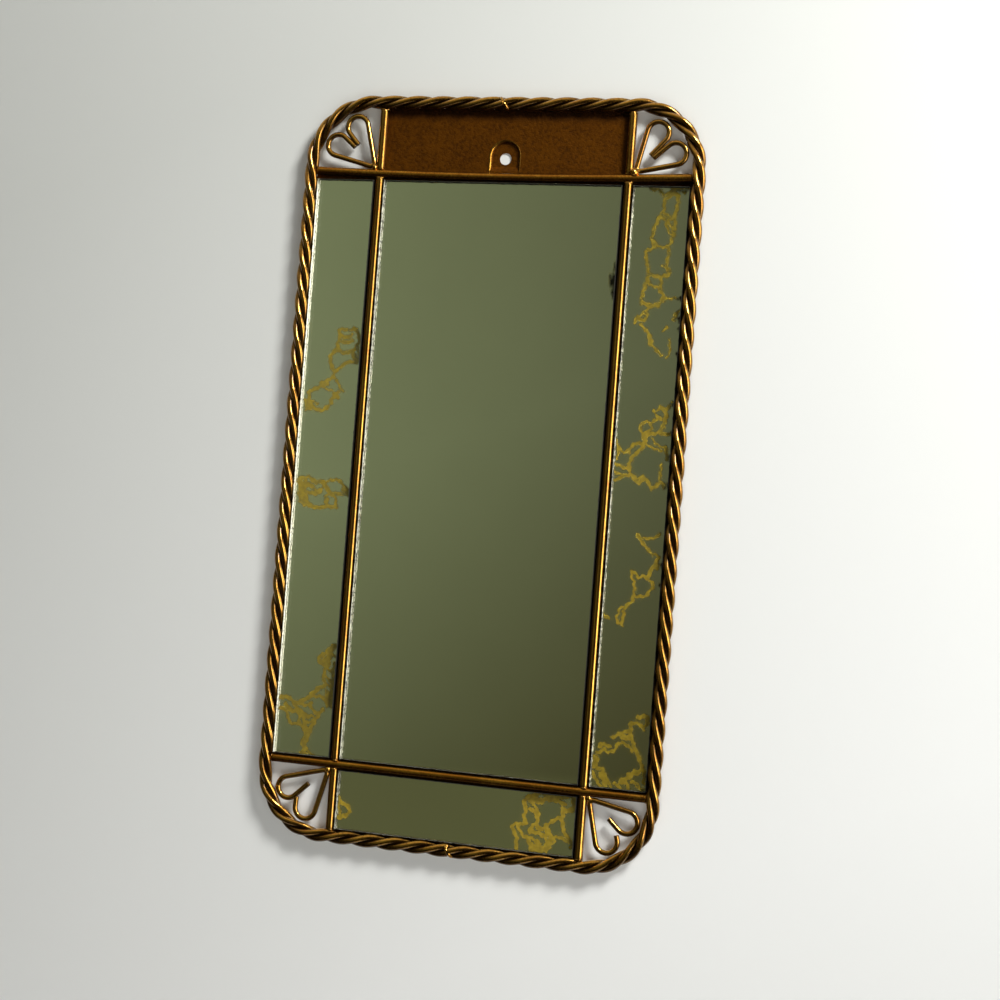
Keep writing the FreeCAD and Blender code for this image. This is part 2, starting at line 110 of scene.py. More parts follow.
# Weld beads: points round one and rows of them, then each kind's half widths across, deep and up,
# as shares of the common one, and its dark glaze.
BEAD_SIDES = 20
BEAD_ROWS = 11
BEADS = {
    "heart": ((1.2, 1.1, 1.1), 0.1),
    "crossing": ((1.55, 1.45, 0.5), 0.3),
    "stub": ((1.6, 1.35, 0.6), 0.4),
    "bar": ((0.6, 1.35, 1.6), 0.4),
}

# Stage: gap behind the mirror, level of the floor, and the surround's radius, steps and bright strip.
WALL_GAP = 0.4 * MM
FLOOR_LEVEL = -2.0
BOWL_RADIUS = 1.95
BOWL_STEPS = 61
STRIP_TURN = math.radians(62)

# Each heart's tails, beside the upright and beside the crossbar: share of a full one, lean in degrees.
TAILS = {
    "upper_left_heart": ((0.69, 4), (0.71, 4)),
    "upper_right_heart": ((0.98, 3), (0.9, 3)),
    "lower_left_heart": ((0.46, 42), (0.92, 1)),
    "lower_right_heart": ((0.24, 32), (0.66, 2)),
}

# Gold veins behind the glass. Each row is a width and then points across and up, in
# millimetres from the nail's centre line and from half-way between the crossbars.
VEINS = {
    "right_pane": (
        (2.0, 111, 216, 113, 214.5, 117, 215, 120, 212, 123, 209, 126, 211),
        (3.4, 126, 217, 131, 216, 136, 214, 138, 216),
        (4.4, 124, 210, 128, 213, 131, 211),
        (2.0, 123, 209, 122, 204, 122, 199, 120, 196),
        (2.4, 131, 211, 132, 205, 131, 199, 130, 194),
        (2.0, 122, 199, 124, 197, 127, 195, 130, 195),
        (2.8, 119, 195, 122, 194, 125, 194, 130, 194),
        (2.2, 120, 196, 118, 191, 116, 187, 115.5, 183, 115, 180, 116, 176, 117, 173),
        (2.2, 130, 194, 131, 188, 130.5, 182, 129, 177, 127, 174),
        (1.5, 124, 191, 126, 186, 128, 183, 130, 181),
        (1.4, 125, 192, 129, 188, 129.5, 185),
        (1.4, 115, 180, 118, 176, 121, 173.5, 124, 173, 127, 174, 129, 178),
        (2.0, 117, 173, 114, 171, 111.5, 170, 112, 165, 113, 160, 114, 156, 116, 153, 119, 152),
        (1.8, 127, 174, 128, 170, 127.5, 165, 127, 160, 128, 157),
        (2.4, 128, 157, 129.5, 155, 128, 153, 124, 152, 119, 152),
        (1.4, 124, 160, 127, 158),
        (1.5, 114, 150, 116, 146, 119, 144.5, 122, 144, 124, 141),
        (1.7, 124, 152, 124, 148, 124, 143, 126, 139, 127, 137),
        (2.2, 114, 152, 113.5, 148, 112, 143, 111, 138, 110.5, 134, 112, 132, 115, 131.5, 119, 131),
        (2.8, 127, 137, 125, 134, 122, 131, 119, 131, 116, 130),
        (1.2, 127, 137, 131, 136, 135, 137, 138, 136),
        (2.0, 116, 130, 115, 127, 112, 124, 109, 122, 107, 120),
        (1.8, 115.5, 127, 115, 122, 113, 120, 109, 121),
        (1.4, 107, 120, 107.5, 117.5),
        (1.6, 111, 117, 114, 114, 117, 111, 118.5, 107, 120, 103, 123, 100, 126, 97, 128, 95),
        (3.0, 118, 109, 119.5, 104),
        (2.4, 138, 127, 136, 124, 135, 121),
        (1.4, 131, 116, 128, 113),
        (1.0, 133, 107, 133.5, 103, 134, 98, 132, 94),
        (1.2, 125.4, 55.3, 128.3, 51.2, 131.3, 50.6),
        (2.6, 129, 56.5, 131.3, 57.6, 134.2, 54.7, 134.8, 51.2),
        (2.0, 138.4, 61.8, 136.6, 58.8, 134.2, 56),
        (2.8, 134.2, 51.2, 134.2, 47.6, 132.5, 43.5, 131.3, 40),
        (1.8, 116.5, 43, 117.7, 45.3, 120.7, 47, 123.6, 45.9, 124.8, 42.4, 122.4, 40, 118.9, 38.8,
         117.1, 41.2, 116.5, 43),
        (1.6, 124.8, 46.5, 127.2, 48.8, 131.3, 49.4),
        (2.2, 118.9, 38.8, 122.4, 38.2, 126.6, 38.8, 131.3, 39.4, 136, 38.8, 139.5, 38.8),
        (2.0, 118.9, 38.8, 119.5, 34.7, 120.1, 30.6),
        (1.6, 122.4, 37.6, 121.3, 34.1, 120.1, 30.6),
        (1.0, 126, 35.3, 128.3, 31.8, 132.5, 30, 136, 28.2),
        (1.2, 120.1, 32.4, 124.2, 29.4, 129, 27.9, 133.7, 26.5),
        (2.0, 136, 30, 137.2, 25.3, 137.8, 20.6),
        (2.0, 120.1, 30.6, 117.1, 31.2, 113.6, 30.6, 110.6, 27.6, 110, 24.7),
        (2.2, 120.1, 29.4, 117.1, 25.9, 113.6, 22.4, 111.2, 18.8, 110.6, 14.7, 111.2, 11.2),
        (1.6, 98.8, 33.5, 101.2, 28.8, 104.7, 24.7, 107.1, 24.1, 110, 26.5),
        (1.2, 101.2, 28.8, 101.8, 24.1, 101.2, 19.4),
        (1.8, 97, 17, 100.6, 15.3, 105.3, 14.1, 107.7, 12.4, 111.2, 14.1),
        (1.8, 98.2, 13.5, 100.6, 10, 104.1, 8.2, 107.7, 7.6, 111.2, 8.8),
        (1.6, 98.8, 3.5, 103, 4.7, 107.1, 7.1, 111.2, 8.2),
        (2.0, 111.2, 7.6, 114.2, 7.6, 117.1, 4.7, 120.1, 7.1, 123.6, 5.9, 126.6, 1.8, 127.7, -0.6),
        (2.2, 114.2, 5.9, 118.3, 2.9, 121.3, 5.3),
        (2.4, 127.7, -0.6, 130.7, 1.2, 133.7, 4.1, 136.6, 2.4, 137.2, 0.6),
        (1.6, 133.7, 4.1, 133.4, 8.8, 133.9, 13.5, 133.7, 16.5),
        (1.6, 120.1, -34.1, 124.2, -36.5, 129, -36.5, 133.7, -35.3, 136.6, -32.4),
        (1.8, 120.1, -34.1, 124.2, -39.4, 127.7, -42.9, 131.3, -46.5, 135.4, -48.2),
        (2.4, 136.6, -50, 134.8, -54.7, 132.5, -57.6, 130.7, -62.9, 130.1, -65.3),
        (1.6, 133.1, -56.5, 136, -57.6, 137.8, -54.7),
        (1.8, 118.3, -60.6, 120.7, -61.8, 123.6, -64.7, 127.2, -63.5, 130.1, -65.3),
        (1.6, 118.3, -60.6, 118.3, -64.7, 120.3, -67.6, 120.9, -72.4, 120.7, -77.6),
        (1.8, 130.1, -65.3, 133.1, -67.1, 134.8, -70.6, 132.5, -72.9, 130.1, -77.1, 125.4, -78.2,
         121.3, -78.5),
        (2.0, 120.7, -77.6, 120.1, -81.8, 116.5, -85.3, 114.8, -88.8, 114.2, -94.7, 113.6, -99.4),
        (1.4, 114.8, -86.5, 111.2, -88.2, 110.6, -91.8, 109.4, -94.7, 111.2, -98.8, 113.6, -98.2),
        (2.2, 98.2, -92.9, 101.2, -94.7, 103.5, -95.3),
        (3.0, 130.6, -164.2, 133.7, -163.8, 136.8, -163.1, 137.5, -166.2, 136.8, -169.2),
        (2.0, 124.8, -169.2, 127.5, -168.5, 130.6, -168.8, 133.7, -170.8, 134.8, -172.7),
        (2.4, 125.6, -170, 126, -173.8, 126.4, -177.7, 127.5, -181.5, 129.1, -185.4, 131.4, -189.2,
         133.7, -193.1, 135.2, -196.9, 136.8, -200),
        (2.2, 113.3, -180.4, 116.4, -178.5, 119.8, -176.5, 122.9, -175, 125.6, -173.8),
        (3.6, 120.5, -179.2, 123, -179.2, 126, -180),
        (1.8, 119.8, -183.1, 122.9, -184.6, 126, -186.2, 128.3, -188.5),
        (2.0, 119.8, -183.1, 116.8, -185, 115.6, -188.5, 113.3, -190.4, 110.6, -190.8, 107.5, -189.2),
        (2.4, 103.7, -188.1, 106, -185.4, 108.3, -186.2, 111.4, -186.9),
        (1.6, 102.2, -191.9, 104.1, -192.3, 106, -190.4),
        (3.4, 100.6, -195.4, 102.5, -196.9, 102.2, -200, 100.6, -202.3),
        (2.2, 103.7, -203.8, 106.8, -203.1, 109.5, -206.9, 111.4, -210.8, 114.5, -214.6),
        (2.0, 100.6, -206.2, 102.5, -210, 105.2, -213.8, 107.5, -216.9),
        (2.6, 106, -206.9, 108.3, -211.5, 110.6, -215.4),
        (1.8, 116.4, -212.7, 119.1, -213.8, 122.2, -216.2, 125.2, -217.5),
        (3.8, 121.4, -211.5, 124.5, -209.2, 127.5, -206.2, 130.6, -203.8, 133.7, -203.1),
        (2.0, 125.2, -211.5, 127.5, -213.8, 126.8, -216.2),
        (2.2, 129.1, -210.8, 132.2, -210.8, 135.2, -213.8, 138.3, -215.4),
        (2.0, 133.7, -203.1, 136.8, -200.8, 137.9, -205.4, 138.3, -210.8),
    ),
    "left_pane": (
        (2.0, -118, 103.5, -113.4, 103.5, -108, 103.5, -105.7, 105, -102.6, 100.4, -101.8, 95,
         -102.6, 91.9),
        (2.2, -118, 103.5, -117.5, 98, -118.4, 92),
        (2.6, -116, 99, -111, 97.5, -108, 100),
        (2.4, -117, 94.5, -111, 94, -107, 95.5),
        (2.6, -118.4, 91.9, -118.8, 88.5, -114.9, 86.5, -110.3, 86.5, -105.7, 88.1, -102.6, 92.7),
        (2.6, -118.8, 88.5, -121.8, 85.8, -123.4, 81.9, -123, 77.3, -121.1, 73.5, -119.5, 71.2),
        (2.2, -119.5, 71.2, -115.7, 74.2, -112.6, 77.3, -109.5, 79.2, -105.7, 79.6, -102.6, 81.2),
        (4.0, -104.9, 84.2, -102.6, 81.9, -103.4, 79.6),
        (1.4, -102.6, 91.9, -101.8, 87.3, -101.1, 82.7),
        (1.4, -119.5, 71.2, -119.2, 67.3, -116.5, 64.2, -114.2, 60.4, -111.5, 56.9),
        (2.4, -119.2, 67.3, -122.6, 65.8, -126.5, 62.7, -130.3, 59.6, -134.2, 57.7, -138.8, 55),
        (4.6, -128.2, 61.9, -126, 61.6),
        (2.4, -138.8, 55, -138, 49.6, -135.7, 45.8, -132.6, 42.7, -128, 41.9, -124.2, 43.5,
         -121.1, 46.5, -119.5, 51.2, -116.5, 54.2, -115, 56.5),
        (4.2, -117.6, 54, -116, 53),
        (4.6, -139.4, 48, -138.6, 43),
        (1.4, -136.5, 48.8, -131, 46.5),
        (1.4, -125, 58, -120.5, 57),
        (6.4, -139.3, -12.5, -136.5, -15, -138, -19, -136.7, -23.7),
        (2.0, -140.7, -9.7, -137.3, -10, -133.3, -9, -130, -11.7),
        (3.0, -130, -11.7, -126, -12.3, -122.7, -12, -120.7, -13.7, -118.7, -16.3, -116, -19,
         -113.3, -20.7),
        (2.4, -134, -20.3, -128.7, -21, -125.3, -21, -122.7, -17.7, -120, -14.3),
        (2.4, -132, -14, -128.5, -17, -126, -20),
        (1.8, -120, -13, -118, -11, -114, -10, -109.3, -10, -106, -12.3, -103.3, -15, -100.7, -17),
        (2.2, -116, -19, -113.3, -20, -110, -20, -105.3, -20, -100, -20.3),
        (3.8, -105, -16.5, -103.4, -18.6),
        (2.4, -138, -24.3, -134.7, -27, -131.3, -30.3, -126.7, -31.3, -121.3, -31, -118, -29.7,
         -118.7, -26.3, -118, -22.3, -116, -20.3),
        (1.8, -139.3, -27.7, -134.7, -30.3),
        (1.4, -134.7, -25, -130, -29.7),
        (1.6, -116, -21, -112, -21, -110.7, -23.7, -110.3, -29, -113.3, -29.7, -116.7, -29,
         -117, -24.3),
        (1.6, -120, -30.3, -109.3, -30.7),
        (3.0, -101, -133.3, -104.5, -134.6, -108, -138.9, -111.5, -141.5, -113.7, -144.1,
         -111.5, -147.2, -108, -148.5, -105.4, -146.7),
        (4.6, -104.5, -137.2, -106.3, -142.4, -108.9, -145),
        (2.0, -103.7, -140.7, -100.6, -141.5),
        (2.4, -101, -146.7, -101.9, -152.8, -101.5, -159.8, -101.9, -165.9, -101.5, -173.7,
         -101, -178.9),
        (2.0, -108, -149.3, -108.9, -153.7, -109.7, -158.9),
        (1.7, -108, -150.2, -104.5, -152.8, -101.9, -155.4),
        (1.7, -108.9, -156.3, -105.4, -158.5, -102.3, -161.5),
        (1.6, -109.7, -158.9, -106.3, -162.4, -102.8, -165),
        (3.0, -108.5, -164.5, -113.2, -166.7, -115, -169.3, -118, -171.1),
        (2.0, -117.6, -171.1, -114.1, -172.4, -109.7, -172.4, -106.3, -175.4, -104.5, -178.9),
        (3.4, -106, -168.5, -104, -174, -102, -177),
        (2.8, -144.1, -177.2, -141, -175.4, -136.7, -175.4, -132.3, -178, -128.9, -178.9,
         -125.4, -177.2, -121, -174.6, -117.6, -172.4),
        (2.0, -128.9, -178.9, -124.5, -179.3, -120.2, -179.8, -117.1, -177.2),
        (3.2, -137.6, -180.7, -133.2, -184.1, -128.9, -185, -123.7, -187.6, -119.3, -188.5),
        (2.0, -130.6, -180.7, -126.3, -183.3, -121, -186.7),
        (2.0, -119.3, -178.9, -115.8, -182.8, -113.2, -185),
        (2.6, -107.6, -181.5, -110.6, -185, -112.3, -188.5, -115, -193.7, -117.6, -198.9),
        (2.0, -143.7, -185, -140.2, -183.3, -136.7, -185.9, -135, -189.3, -133.2, -193.3,
         -129.7, -194.6, -126.3, -193.7),
        (2.2, -126.3, -192, -123.7, -195.4, -120.2, -198.9),
        (1.8, -128, -185, -125.4, -189.3, -126.3, -193.7),
        (2.4, -122.8, -187.6, -121.9, -192.8, -119.3, -198),
        (1.8, -119.3, -188.5, -116.7, -187.2, -113.7, -188.9, -115.8, -192, -119.3, -192),
        (4.6, -118, -198.9, -119.3, -203.3, -121, -207.6, -119.7, -212, -121, -215.9),
        (1.8, -119.3, -212.8, -115.8, -214.6, -112.8, -216.5),
    ),
    "bottom_pane": (
        (3.0, 52.3, -235.3, 52.7, -231.3, 56, -228.7, 60, -227.3, 63.3, -225.3, 67.3, -225,
         70, -226.7),
        (4.4, 56, -231, 60.7, -231.3, 65, -231),
        (3.4, 70, -226.7, 74, -228, 78, -226.7, 82, -226, 87.3, -225.3, 89.3, -228, 88, -230),
        (2.4, 67.3, -229.3, 72.7, -229.7, 78, -230, 82, -232),
        (3.0, 89.3, -228.7, 88.7, -234, 85.3, -236, 82, -235.3),
        (2.6, 80.7, -234.7, 81, -238, 80.7, -241.3, 81.3, -245.3, 82, -250),
        (2.2, 80.3, -240.7, 76.7, -242.7, 73.3, -245.3, 69.3, -248.3),
        (2.2, 52.7, -235.3, 53.3, -239.3, 52.7, -243.3, 53.3, -246.7, 54.7, -248.3),
        (2.4, 56.7, -237.3, 59.3, -239.3, 61.3, -241.3, 62.7, -245.3, 62.3, -249.3),
        (1.6, 58.7, -234, 62, -237.3, 63.3, -241.3, 62.7, -245.3),
        (2.0, 54.7, -248.3, 50.7, -249.3, 46.7, -249.7, 44, -251.3),
        (2.4, 44.3, -252, 46, -256, 48, -259.3, 48.3, -263.3, 48.7, -267.3),
        (1.8, 48, -250.7, 50, -254, 52.7, -257.3, 54.7, -258.7),
        (2.0, 53.3, -258.3, 58, -258, 60.7, -259.3, 63.3, -260.7, 66, -262),
        (2.6, 56, -259.3, 58, -262.7, 59.3, -266, 60, -268),
        (3.0, 63.3, -260.7, 65.3, -264.7, 67.3, -267.3),
        (4.4, 61, -264, 66, -266),
        (2.6, 59.3, -249.3, 58, -252.7, 57.3, -254.3, 60.7, -253.7, 64.7, -254.7, 67.3, -256),
        (2.6, 63.3, -250.7, 67.3, -250.7, 70.7, -251.3, 72.7, -254.7, 73.3, -258, 72.7, -262,
         71.3, -266),
        (2.2, 70, -252, 70, -256.7, 70.7, -260.7, 69.3, -265.3),
        (1.8, 72.7, -262, 76, -259.3, 76, -256, 79.3, -255.7, 83.3, -256.7, 86.7, -258.7),
        (2.2, 82, -250.7, 84.7, -254, 87.3, -256.7, 89, -259.3, 89, -261.7),
        (2.4, -91, -244.5, -89, -247, -86, -250, -82.5, -251, -81, -254, -82.5, -257.5, -86, -259.5,
         -90, -260.5),
        (1.8, -90.5, -250, -89, -254, -87.5, -258),
    ),
    "centre_pane": (),
}

# Dark spots where the silver has gone: across, up (as above), width and height.
SILVER_LOSS = {
    "right_pane": (
        (139.6, 137, 3.2, 5.0), (140, 122, 4.2, 7.0), (140, 115, 3.4, 5.0), (140, 97, 3.6, 4.5),
        (140, 60, 3.4, 5.0), (140, 40, 2.6, 4.0), (140, 22, 3.0, 6.0), (140, 3, 2.8, 5.0),
        (139.8, -55, 3.0, 6.0), (139.8, -69, 3.4, 4.5), (140, -205, 2.4, 5.0),
    ),
    "left_pane": ((-99.4, 60, 1.2, 30.0), (-99.4, -90, 1.2, 30.0)),
    "bottom_pane": (),
    "centre_pane": ((88.9, 148, 6.4, 12.0), (89.6, 138.5, 3.6, 6.0), (89.6, 158, 3.2, 5.0)),
}

# How pale each pane's left edge is painted, set per pane as painted light, and how unbroken. Its bottom edge
# is painted nearly dark and its right and top edges dark, as painted shade.
EDGE_LIGHT = {
    "left_pane": (1.0, 0.95),
    "centre_pane": (0.62, 0.82),
    "right_pane": (1.0, 0.62),
    "bottom_pane": (0.6, 0.7),
}

# Gold paints: wear, share of metal, grain per metre, relief in mm, extra roughness and varnish.
PAINTS = {
    "Rim gilt": (0.0, 0.96, 950.0, 0.018, 0.0, 0.4),
    "Wire gilt": (0.0, 0.96, 950.0, 0.018, 0.0, 0.4),
    "Bar gilt": (-0.12, 0.92, 800.0, 0.025, 0.05, 0.0),
    "Lip gilt": (0.0, 0.9, 700.0, 0.03, 0.1, 0.0),
    "Sheet gilt": (0.0, 0.6, 480.0, 0.55, 0.28, 0.0),
}


class RimSettings(PropertyGroup):
    """Sizes of the twisted rim."""

    strand_diameter: FloatProperty(
        name="Strand diameter", description="Thickness of each of the three twisted wires",
        default=4.76 * MM, unit="LENGTH")
    strand_gap: FloatProperty(
        name="Strand gap", description="Gap between the wires", default=0.15 * MM, unit="LENGTH")
    left_pitch: FloatProperty(
        name="Left pitch", description="Length of one full turn of the left half's twist",
        default=57.75 * MM, unit="LENGTH")
    right_pitch: FloatProperty(
        name="Right pitch", description="Length of one full turn of the right half's twist",
        default=56.15 * MM, unit="LENGTH")
    corner_radius: FloatProperty(
        name="Corner radius", description="Bend of the rim's axis at its corners",
        default=48 * MM, unit="LENGTH")
    left_twist: FloatProperty(
        name="Left twist", description="Turn of the left half at the top seam",
        default=math.radians(97), subtype="ANGLE")
    right_twist: FloatProperty(
        name="Right twist", description="Turn of the right half at the top seam",
        default=math.radians(101), subtype="ANGLE")
    unevenness: FloatProperty(
        name="Unevenness", description="How far the wires' thickness wanders, as a share",
        default=0.018, subtype="FACTOR")


class WireSettings(PropertyGroup):
    """Sizes of the rods, hearts and welds."""

    bow_radius: FloatProperty(
        name="Bow radius", description="Radius of the upper crossbar's slight bow",
        default=4.23167, unit="LENGTH")
    end_rounding: FloatProperty(
        name="End rounding", description="Rounding of the rods' cut ends",
        default=0.5 * MM, unit="LENGTH")
    heart_wire: FloatProperty(
        name="Heart wire", description="Thickness of the hearts' wire", default=4 * MM, unit="LENGTH")
    lobe_radius: FloatProperty(
        name="Lobe radius", description="Bend of a heart's lobes", default=8 * MM, unit="LENGTH")
    tip_radius: FloatProperty(
        name="Tip radius", description="Bend of a heart's point", default=2.6 * MM, unit="LENGTH")
    tail_length: FloatProperty(
        name="Tail length", description="Straight end of a heart's wire", default=16 * MM, unit="LENGTH")
    tail_gap: FloatProperty(
        name="Tail gap", description="Gap between a heart's two tails", default=0.4 * MM, unit="LENGTH")
    weld_gap: FloatProperty(
        name="Weld gap", description="Gap that the welds fill", default=0.1 * MM, unit="LENGTH")
    weld_size: FloatProperty(
        name="Weld size", description="Half width of a common weld bead", default=2.1 * MM, unit="LENGTH")


class FinishSettings(PropertyGroup):
    """Colours of the painted metal."""

    gold: FloatVectorProperty(
        name="Gold", description="Gold paint where it is rubbed bright",
        default=(0.50, 0.275, 0.042), size=3, min=0, max=1, subtype="COLOR")
    bronze: FloatVectorProperty(
        name="Bronze", description="Gold paint where it has dulled",
        default=(0.28, 0.112, 0.014), size=3, min=0, max=1, subtype="COLOR")
    umber: FloatVectorProperty(
        name="Umber", description="Dark glaze in the hollows",
        default=(0.020, 0.006, 0.0006), size=3, min=0, max=1, subtype="COLOR")
    sheet_gold: FloatVectorProperty(
        name="Sheet gold", description="Paint of the back sheet where it is bright",
        default=(0.125, 0.040, 0.001), size=3, min=0, max=1, subtype="COLOR")
    sheet_brown: FloatVectorProperty(
        name="Sheet brown", description="Paint of the back sheet where it is dull",
        default=(0.085, 0.026, 0.0008), size=3, min=0, max=1, subtype="COLOR")


class SheetSettings(PropertyGroup):
    """Sizes of the pressed arch, measured from the middle of its nail hole."""

    arch_half: FloatProperty(
        name="Arch half width", description="Half of the hollow's width", default=11.7 * MM, unit="LENGTH")
    arch_spring: FloatProperty(
        name="Arch spring", description="Height where the arch's crown begins",
        default=1.7 * MM, unit="LENGTH")
    arch_flat: FloatProperty(
        name="Arch flat", description="Drop to where the floor begins to rise", default=6 * MM, unit="LENGTH")
    arch_foot: FloatProperty(
        name="Arch foot", description="Drop to where the floor meets the sheet",
        default=10.3 * MM, unit="LENGTH")
    thickness: FloatProperty(
        name="Thickness", description="Thickness of the sheet", default=0.8 * MM, unit="LENGTH")
    lip: FloatProperty(
        name="Lip", description="Width of the rounding from the sheet into the arch",
        default=1.7 * MM, unit="LENGTH")


class PaneSettings(PropertyGroup):
    """Sizes and colours of the mirror panes."""

    arris: FloatProperty(
        name="Arris", description="Width of the rubbed edges of the glass",
        default=0.35 * MM, unit="LENGTH")
    chips: FloatProperty(
        name="Chips", description="Greatest extra bite of a chip in the edge",
        default=0.3 * MM, unit="LENGTH")
    silver: FloatVectorProperty(
        name="Silver", description="Colour of the aged silver",
        default=(0.86, 0.88, 0.82), size=3, min=0, max=1, subtype="COLOR")
    vein: FloatVectorProperty(
        name="Vein", description="Gold paint of the veins where it is pale",
        default=(0.30, 0.210, 0.022), size=3, min=0, max=1, subtype="COLOR")
    vein_deep: FloatVectorProperty(
        name="Vein shade", description="Gold paint of the veins where it is deep",
        default=(0.105, 0.078, 0.008), size=3, min=0, max=1, subtype="COLOR")
    ground_edge: FloatVectorProperty(
        name="Ground edge", description="Colour of the cut edges of the glass",
        default=(0.87, 0.85, 0.72), size=3, min=0, max=1, subtype="COLOR")


class StageSettings(PropertyGroup):
    """Lamps and colours round the mirror."""

    wall: FloatVectorProperty(
        name="Wall", description="Colour of the wall above", default=(0.655, 0.665, 0.622),
        size=3, min=0, max=1, subtype="COLOR")
    wall_painted_bright: FloatVectorProperty(
        name="Bright wall", description="Colour of the wall below and to the right",
        default=(0.86, 0.865, 0.835), size=3, min=0, max=1, subtype="COLOR")
    floor: FloatVectorProperty(
        name="Floor", description="Colour of the floor", default=(0.74, 0.73, 0.70),
        size=3, min=0, max=1, subtype="COLOR")
    key_power: FloatProperty(
        name="Key power", description="Power of the main lamp", default=36, unit="POWER")
    fill_power: FloatProperty(
        name="Fill power", description="Power of the wide lamp on the wall", default=9, unit="POWER")
    back_power: FloatProperty(
        name="Back power", description="Power of the lamp behind", default=45, unit="POWER")
    sky: FloatProperty(
        name="Sky", description="Strength of the even light all round", default=0.04)
    surround_left: FloatVectorProperty(
        name="Surround left", description="Colour that the mirror shows from its left",
        default=(0.208, 0.233, 0.123), size=3, min=0, max=1, subtype="COLOR")
    surround_right: FloatVectorProperty(
        name="Surround right", description="Colour that the mirror shows from its right",
        default=(0.098, 0.101, 0.053), size=3, min=0, max=1, subtype="COLOR")
    surround_low: FloatVectorProperty(
        name="Surround low", description="Colour that the mirror shows from below",
        default=(0.03, 0.02, 0.0), size=3, min=0, max=1, subtype="COLOR")
    surround_foot: FloatVectorProperty(
        name="Surround foot", description="Colour that the bottom pane shows",
        default=(0.103, 0.104, 0.045), size=3, min=0, max=1, subtype="COLOR")
    surround_high: FloatVectorProperty(
        name="Surround high", description="Colour that the metal shows from above",
        default=(0.88, 0.80, 0.55), size=3, min=0, max=1, subtype="COLOR")
    surround_side: FloatVectorProperty(
        name="Surround side", description="Colour that the metal shows from beyond the bright strip",
        default=(0.60, 0.55, 0.44), size=3, min=0, max=1, subtype="COLOR")
    strip: FloatProperty(
        name="Strip", description="Strength of the upright bright strip on the right", default=7.0)


# Meshes

def unit(vectors):
    """Each row divided by its own length."""
    return vectors / np.linalg.norm(vectors, axis=-1, keepdims=True)


def wander(along, seed, *lengths):
    """A smooth uneven line between about -1 and 1: sines of the given wave lengths, added up."""
    phases = np.random.default_rng(seed).uniform(0, 2 * np.pi, len(lengths))
    waves = [np.sin(2 * np.pi * along / length + phase) for length, phase in zip(lengths, phases)]
    return np.sum(waves, axis=0) / len(lengths)


def travelled(points):
    """How far along a line each of its points lies."""
    return np.concatenate([[0], np.cumsum(np.linalg.norm(np.diff(points, axis=0), axis=1))])


def grid_faces(index):
    """Quads between neighbours in a grid of point numbers."""
    return np.stack([index[:-1, :-1], index[1:, :-1], index[1:, 1:], index[:-1, 1:]], axis=-1).reshape(-1, 4)


def ring_faces(index):
    """Quads between rows of point numbers, each row closed to a ring."""
    after = np.roll(index, -1, axis=1)
    return np.stack([index[:-1], after[:-1], after[1:], index[1:]], axis=-1).reshape(-1, 4)


def capped_rings(count, sides):
    """Faces of rows of points, each row a ring, with one pole at the first row and one at the last."""
    index = np.arange(count * sides).reshape(count, sides)
    after = np.roll(index, -1, axis=1)
    start = np.stack([np.full(sides, count * sides), after[0], index[0]], axis=-1)
    end = np.stack([np.full(sides, count * sides + 1), index[-1], after[-1]], axis=-1)
    return ring_faces(index).tolist() + start.tolist() + end.tolist()


def tube(points, first, second, radii, sides):
    """A closed round tube: point + radius * (first * cos + second * sin), with a pole at each end.

    Gives the points, the faces and, for each point, its ring and its turn round the tube.
    """
    turn = np.linspace(0, 2 * np.pi, sides, endpoint=False)
    round_first = np.cos(turn)[None, :, None] * first[:, None, :]
    round_second = np.sin(turn)[None, :, None] * second[:, None, :]
    rings = points[:, None, :] + radii[:, None, None] * (round_first + round_second)
    count = len(points)
    verts = np.concatenate([rings.reshape(-1, 3), points[:1], points[-1:]])
    ring = np.concatenate([np.repeat(np.arange(count), sides), [0, count - 1]])
    turns = np.concatenate([np.tile(turn, count), [np.pi, np.pi]])
    return verts, capped_rings(count, sides), ring, turns


def end_steps(length, step, rounding):
    """Stations along a rod, close together where its ends are rounded."""
    near = rounding * np.array((0.0, 0.12, 0.35, 0.65))
    middle = np.linspace(rounding, length - rounding, max(2, int(length / step)))
    return np.concatenate([near, middle, (length - near)[::-1]])


def end_radius(along, length, radius, rounding):
    """The rod's radius less a quarter-round at each end."""
    inside = np.clip(np.minimum(along, length - along) / rounding, 0, 1)
    return radius - rounding + rounding * np.sqrt(np.clip(1 - (1 - inside) ** 2, 0, 1))


def new_object(name, verts, faces, *materials):
    """A surface with its materials, put into the scene."""
    mesh = bpy.data.meshes.new(name)
    mesh.from_pydata(verts, [], faces)
    mesh.update()
    for material in materials:
        mesh.materials.append(material)
    piece = bpy.data.objects.new(name, mesh)
    bpy.context.scene.collection.objects.link(piece)
    return piece


def add_piece(piece, nodes, values, smooth):
    """Makes an object a piece that rides with the part, stands for its nodes and carries values."""
    mesh = piece.data
    for key, numbers in values.items():
        attribute = mesh.attributes.new(key, "FLOAT", "POINT")
        attribute.data.foreach_set("value", np.asarray(numbers, np.float32))
    mesh.polygons.foreach_set("use_smooth", np.full(len(mesh.polygons), smooth))
    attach(piece, "root")
    if nodes:
        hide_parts(*nodes)


def add_painted(name, shape, paint, slot, *nodes):
    """Adds a gilt piece from its points, faces and darkening, which is partly glaze and partly painted shade.
    """
    verts, faces, glaze_and_shade = shape
    piece = new_object(name, verts, faces, gilt_material(paint))
    add_piece(piece, nodes, {"glaze_and_shade": glaze_and_shade}, smooth=True)


def paint_node(node, material):
    """Gives a CAD node one material all over."""
    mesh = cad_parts[node].data
    mesh.materials.clear()
    mesh.materials.append(material)


# Rim

def strand_offset():
    """From the rim's axis to a wire's: three wires side by side, each a third of a turn on."""
    settings = bpy.context.scene.mirror_rim
    return (settings.strand_diameter + settings.strand_gap) / math.sqrt(3)


